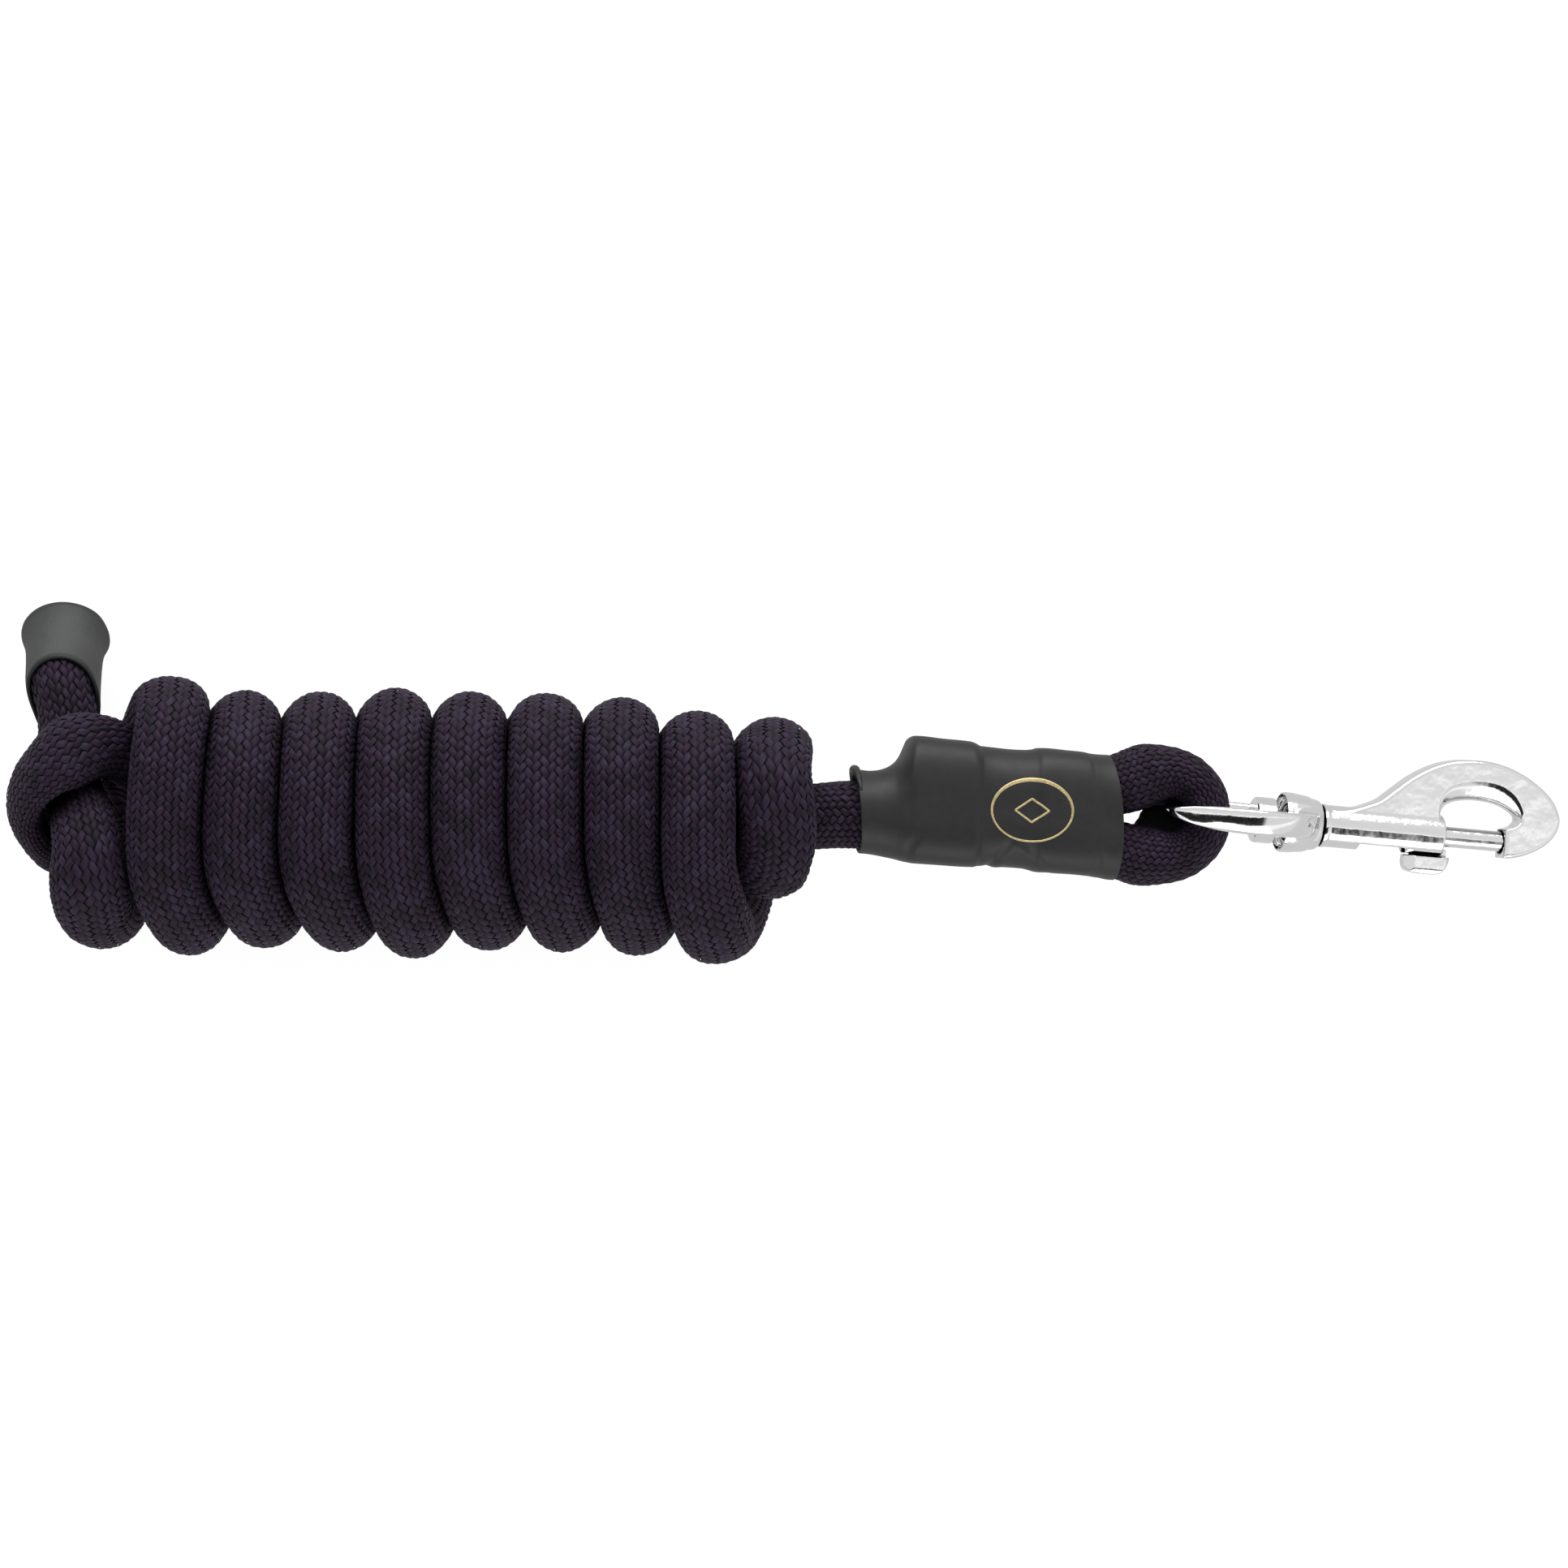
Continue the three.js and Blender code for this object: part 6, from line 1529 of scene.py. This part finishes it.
def thumb_distance(x, y, z):
    depth = np.abs(z)
    out, past = THUMB_PAD(x, y) + 0.5, depth - PAD_HALF_DEPTH + 0.5
    pad = (np.minimum(np.maximum(out, past), 0)
           + np.hypot(np.maximum(out, 0), np.maximum(past, 0)) - 0.5)
    # bevels at the end towards the swivel, along the thumb face and at the far end
    slope = (depth - PAD_HALF_DEPTH) * 0.80
    pad = meet(pad, slope - (x - 49.6) * 0.60, 0.25)
    pad = meet(pad, slope - (y + 9.6) * 0.60, 0.25)
    pad = meet(pad, slope + (x - 58.7) * 0.60, 0.25)
    neck = join(box(x, y, z, *THUMB_NECK), box(x, y, z, *THUMB_FOOT), 0.3)
    return join(pad, neck, 0.35)


# name, distance, low corner, high corner, lattice step, turn, body, CAD node
CASTINGS = [
    ("snap_casting", snap_distance, (2.0, -7.5, -7.0), (93.0, 23.0, 7.0),
     0.32, SNAP_TURN, "snap", "snap_body"),
    ("swivel_ring", ring_distance, (-22.5, -9.5, -22.5), (24.0, 9.5, 22.5),
     0.34, RING_TURN, "swivel", "swivel_eye"),
    ("bolt_pin", bolt_distance, (44.5, -4, -4), (77.0, 4, 4),
     0.26, SNAP_TURN, "bolt", "bolt_plunger"),
    ("thumb_piece", thumb_distance, (45.5, -12.0, -4.5), (61.5, 0.5, 4.5),
     0.22, SNAP_TURN, "bolt", "thumb_stud"),
]


def cavity(verts, normals, turn):
    """How closely the castings crowd each point."""
    crevice_shade = np.zeros(len(verts))
    for reach, weight in ((0.8, 0.3), (1.8, 0.4), (3.4, 0.3)):
        points = (verts + normals * reach) @ turn.T
        near = np.full(len(verts), 1e9)
        for other in CASTINGS:
            near = np.minimum(near, other[1](*(points @ other[5]).T))
        crevice_shade += weight * np.clip(1 - np.maximum(near, 0) / (reach * 0.85), 0, 1)
    return crevice_shade


for name, distance, low, high, lattice, turn, body, node_name in CASTINGS:
    verts, quads, normals = mesh_distance(distance, low, high, lattice)
    # painted shade: how enclosed each point is, darkened in the chrome
    crevice_shade = cavity(verts, normals, turn)
    if name == "swivel_ring":
        normals = flatten_shoulder(verts, normals)
    make_mesh(name, place(verts, turn), [quads], CHROME, body, replaces=node_name,
              normals=normals @ turn.T, attrs={"cavity": crevice_shade})


def return_spring():
    """Coil between the blind end of the bore and the bolt, closer at its end turns."""
    start, end, turns, radius, wire = 28.35, 45.6, 8.0, 2.35, 0.32
    steps, around = 8 * 28, 10
    part = np.linspace(0, 1, steps + 1)
    angle = part * turns * 2 * math.pi
    advance = monotone_curve(
        [0, 1.0 / turns, (turns - 1) / turns, 1], [0, 0.035, 0.965, 1], part)
    cos, sin = np.cos(angle), np.sin(angle)
    centre = np.stack([start + (end - start) * advance, radius * cos, radius * sin], 1)
    out = unit(np.stack([np.zeros_like(angle), cos, sin], 1))
    side = unit(np.cross(unit(np.gradient(centre, axis=0)), out))
    turn = (np.arange(around) / around * 2 * math.pi)[None, :, None]
    rings = centre[:, None] + wire * (np.cos(turn) * out[:, None] + np.sin(turn) * side[:, None])
    verts = np.concatenate([rings.reshape(-1, 3), [centre[0], centre[-1]]])
    return make_mesh("return_spring", place(verts, SNAP_TURN), tube_faces(steps + 1, around),
                     SPRING, "snap", replaces="bolt_spring", tidy=True)


spring = return_spring()
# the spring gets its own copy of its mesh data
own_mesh(spring)

# ------------------------------------------------------- floor, light and camera
FLOOR_HALF = 6.0        # metres
FLOOR_Z = -0.0004       # metres
EVEN_FILL = 0.50        # world brightness for all but camera and glossy rays
BACKDROP = 0.96         # world brightness seen by the camera
# Brightness round the object's long axis: angle (0 overhead, positive towards +y), value.
BANDS = [
    (-3.14, 0.80), (-1.62, 0.80), (-1.57, 0.16), (-1.44, 0.16), (-1.38, 0.70),
    (-1.18, 0.76), (-1.05, 1.20), (-0.80, 1.25), (-0.74, 0.02), (-0.15, 0.015),
    (-0.125, 1.35), (-0.07, 1.2), (-0.03, 0.90), (0.25, 0.86), (0.9, 0.80),
    (1.30, 0.86), (1.50, 0.62), (1.57, 0.50), (1.63, 0.80), (3.14, 0.80),
]
BAND_SCALE = 0.7        # keeps the ramp's colours below 1


def floor_material():
    mat = Material("floor_paper")
    grain = mat.noise(scale=40.0, detail=3.0)
    mat.surface({
        "Base Color": mat.ramp(grain, stops=[(0.3, (0.90,) * 3), (0.7, (0.93,) * 3)]),
        "Roughness": 0.9,
        "Specular IOR Level": 0.1,
        "Emission Color": (1, 1, 1, 1),
        "Emission Strength": 0.30,
    })
    rays = mat.add("ShaderNodeLightPath").outputs

    def emission(grey, strength):
        inputs = {"Color": (grey, grey, grey, 1), "Strength": strength}
        return mat.add("ShaderNodeEmission", inputs).outputs[0]

    def mix(factor, first, second):
        return mat.add("ShaderNodeMixShader", {0: factor, 1: first, 2: second}).outputs[0]

    # the paper under the object sends little light back up
    dim = mat.add("ShaderNodeBsdfDiffuse", {"Color": (0.34, 0.34, 0.34, 1)}).outputs[0]
    base = mix(rays["Is Diffuse Ray"], mat.principled.outputs[0], dim)
    whitened = mat.scaled(rays["Is Camera Ray"], gain=0.80)
    seen = mix(whitened, base, emission(grey=1, strength=1.06))
    # reflections in the plating see the floor a little greyer than the eye does
    mirrored = emission(grey=0.74, strength=1.0)
    mat.feed(mat.output.inputs["Surface"], mix(rays["Is Glossy Ray"], seen, mirrored))
    return mat.material


def make_floor():
    mesh = bpy.data.meshes.new("floor")
    corners = [(-1, -1), (1, -1), (1, 1), (-1, 1)]
    mesh.from_pydata(
        [(x * FLOOR_HALF, y * FLOOR_HALF, FLOOR_Z) for x, y in corners], [], [(0, 1, 2, 3)])
    floor = bpy.data.objects.new("floor", mesh)
    bpy.context.scene.collection.objects.link(floor)
    mesh.materials.append(floor_material())
    floor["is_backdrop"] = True


def make_world():
    """A soft tent round the floor, its bands seen only by reflections."""
    world = bpy.data.worlds.new("studio")
    bpy.context.scene.world = world
    world.use_nodes = True
    tent = Shader(world.node_tree)
    output = tent.add("ShaderNodeOutputWorld")
    direction = tent.add("ShaderNodeTexCoord").outputs["Generated"]
    x, y, z = tent.add("ShaderNodeSeparateXYZ", {0: direction}).outputs
    around = tent.scaled(tent.math("ARCTAN2", y, z), gain=1.0 / TURN, offset=0.5)
    sky = tent.ramp(around, stops=[
        ((angle + math.pi) / TURN, (value * BAND_SCALE,) * 3) for angle, value in BANDS])
    red = tent.add("ShaderNodeSeparateColor", {0: sky}).outputs[0]
    sky = tent.math("DIVIDE", red, BAND_SCALE)

    def step_up(value, start, end):
        gap = end - start
        return tent.scaled(value, gain=1.0 / gap, offset=-start / gap, clamp=True)

    # the dark overhead gap only reaches so far along x
    along = tent.math("ARCTAN2", x, z)
    shut = tent.math("MAXIMUM", step_up(along, start=0.47, end=0.60),
                     step_up(tent.scaled(along, gain=-1.0), start=1.05, end=1.35))
    sky = tent.math("MAXIMUM", sky, tent.scaled(shut, gain=0.88))
    rays = tent.add("ShaderNodeLightPath").outputs
    camera_ray, glossy_ray = rays["Is Camera Ray"], rays["Is Glossy Ray"]
    sky = tent.math("ADD", tent.math("MULTIPLY", sky, glossy_ray),
                    tent.math("MULTIPLY", EVEN_FILL, tent.one_minus(glossy_ray)))
    value = tent.math("ADD", tent.math("MULTIPLY", sky, tent.one_minus(camera_ray)),
                      tent.scaled(camera_ray, gain=BACKDROP))
    background = tent.add("ShaderNodeBackground", {0: tent.grey(value), 1: 1.0})
    tent.feed(output.inputs[0], background.outputs[0])


def soft_light(name, location, target, size, watts):
    light = bpy.data.lights.new(name, "AREA")
    light.shape = "RECTANGLE"
    light.size, light.size_y = size
    light.energy = watts
    lamp = bpy.data.objects.new(name, light)
    bpy.context.scene.collection.objects.link(lamp)
    lamp.location = location
    lamp.rotation_mode = "QUATERNION"
    lamp.rotation_quaternion = (Vector(target) - Vector(location)).to_track_quat("-Z", "Y")


def make_camera():
    """Looks straight down from over the layout's origin."""
    data = bpy.data.cameras.new("camera")
    data.sensor_width = 36.0
    data.lens = 106.9
    data.clip_start, data.clip_end = 0.05, 20.0
    camera = bpy.data.objects.new("camera", data)
    bpy.context.scene.collection.objects.link(camera)
    camera.location = Vector((LAYOUT_SHIFT + [0.0, 0.0, CAMERA_HEIGHT]) * MM)
    camera.rotation_euler = (0.0, 0.0, 0.0)
    bpy.context.scene.camera = camera


make_floor()
make_world()
for name, y, watts in (("light_far", 1.1, 17.0), ("light_near", -1.1, 7.0)):
    soft_light(name, location=(0.0, y, 0.55), target=(0, 0, 0.03), size=(1.6, 0.7), watts=watts)
make_camera()
bpy.context.scene.view_settings.view_transform = "Standard"
bpy.context.scene.view_settings.look = "None"

# --------------------------------------------------------------------- update and bounds
bpy.context.view_layer.update()
low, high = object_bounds()
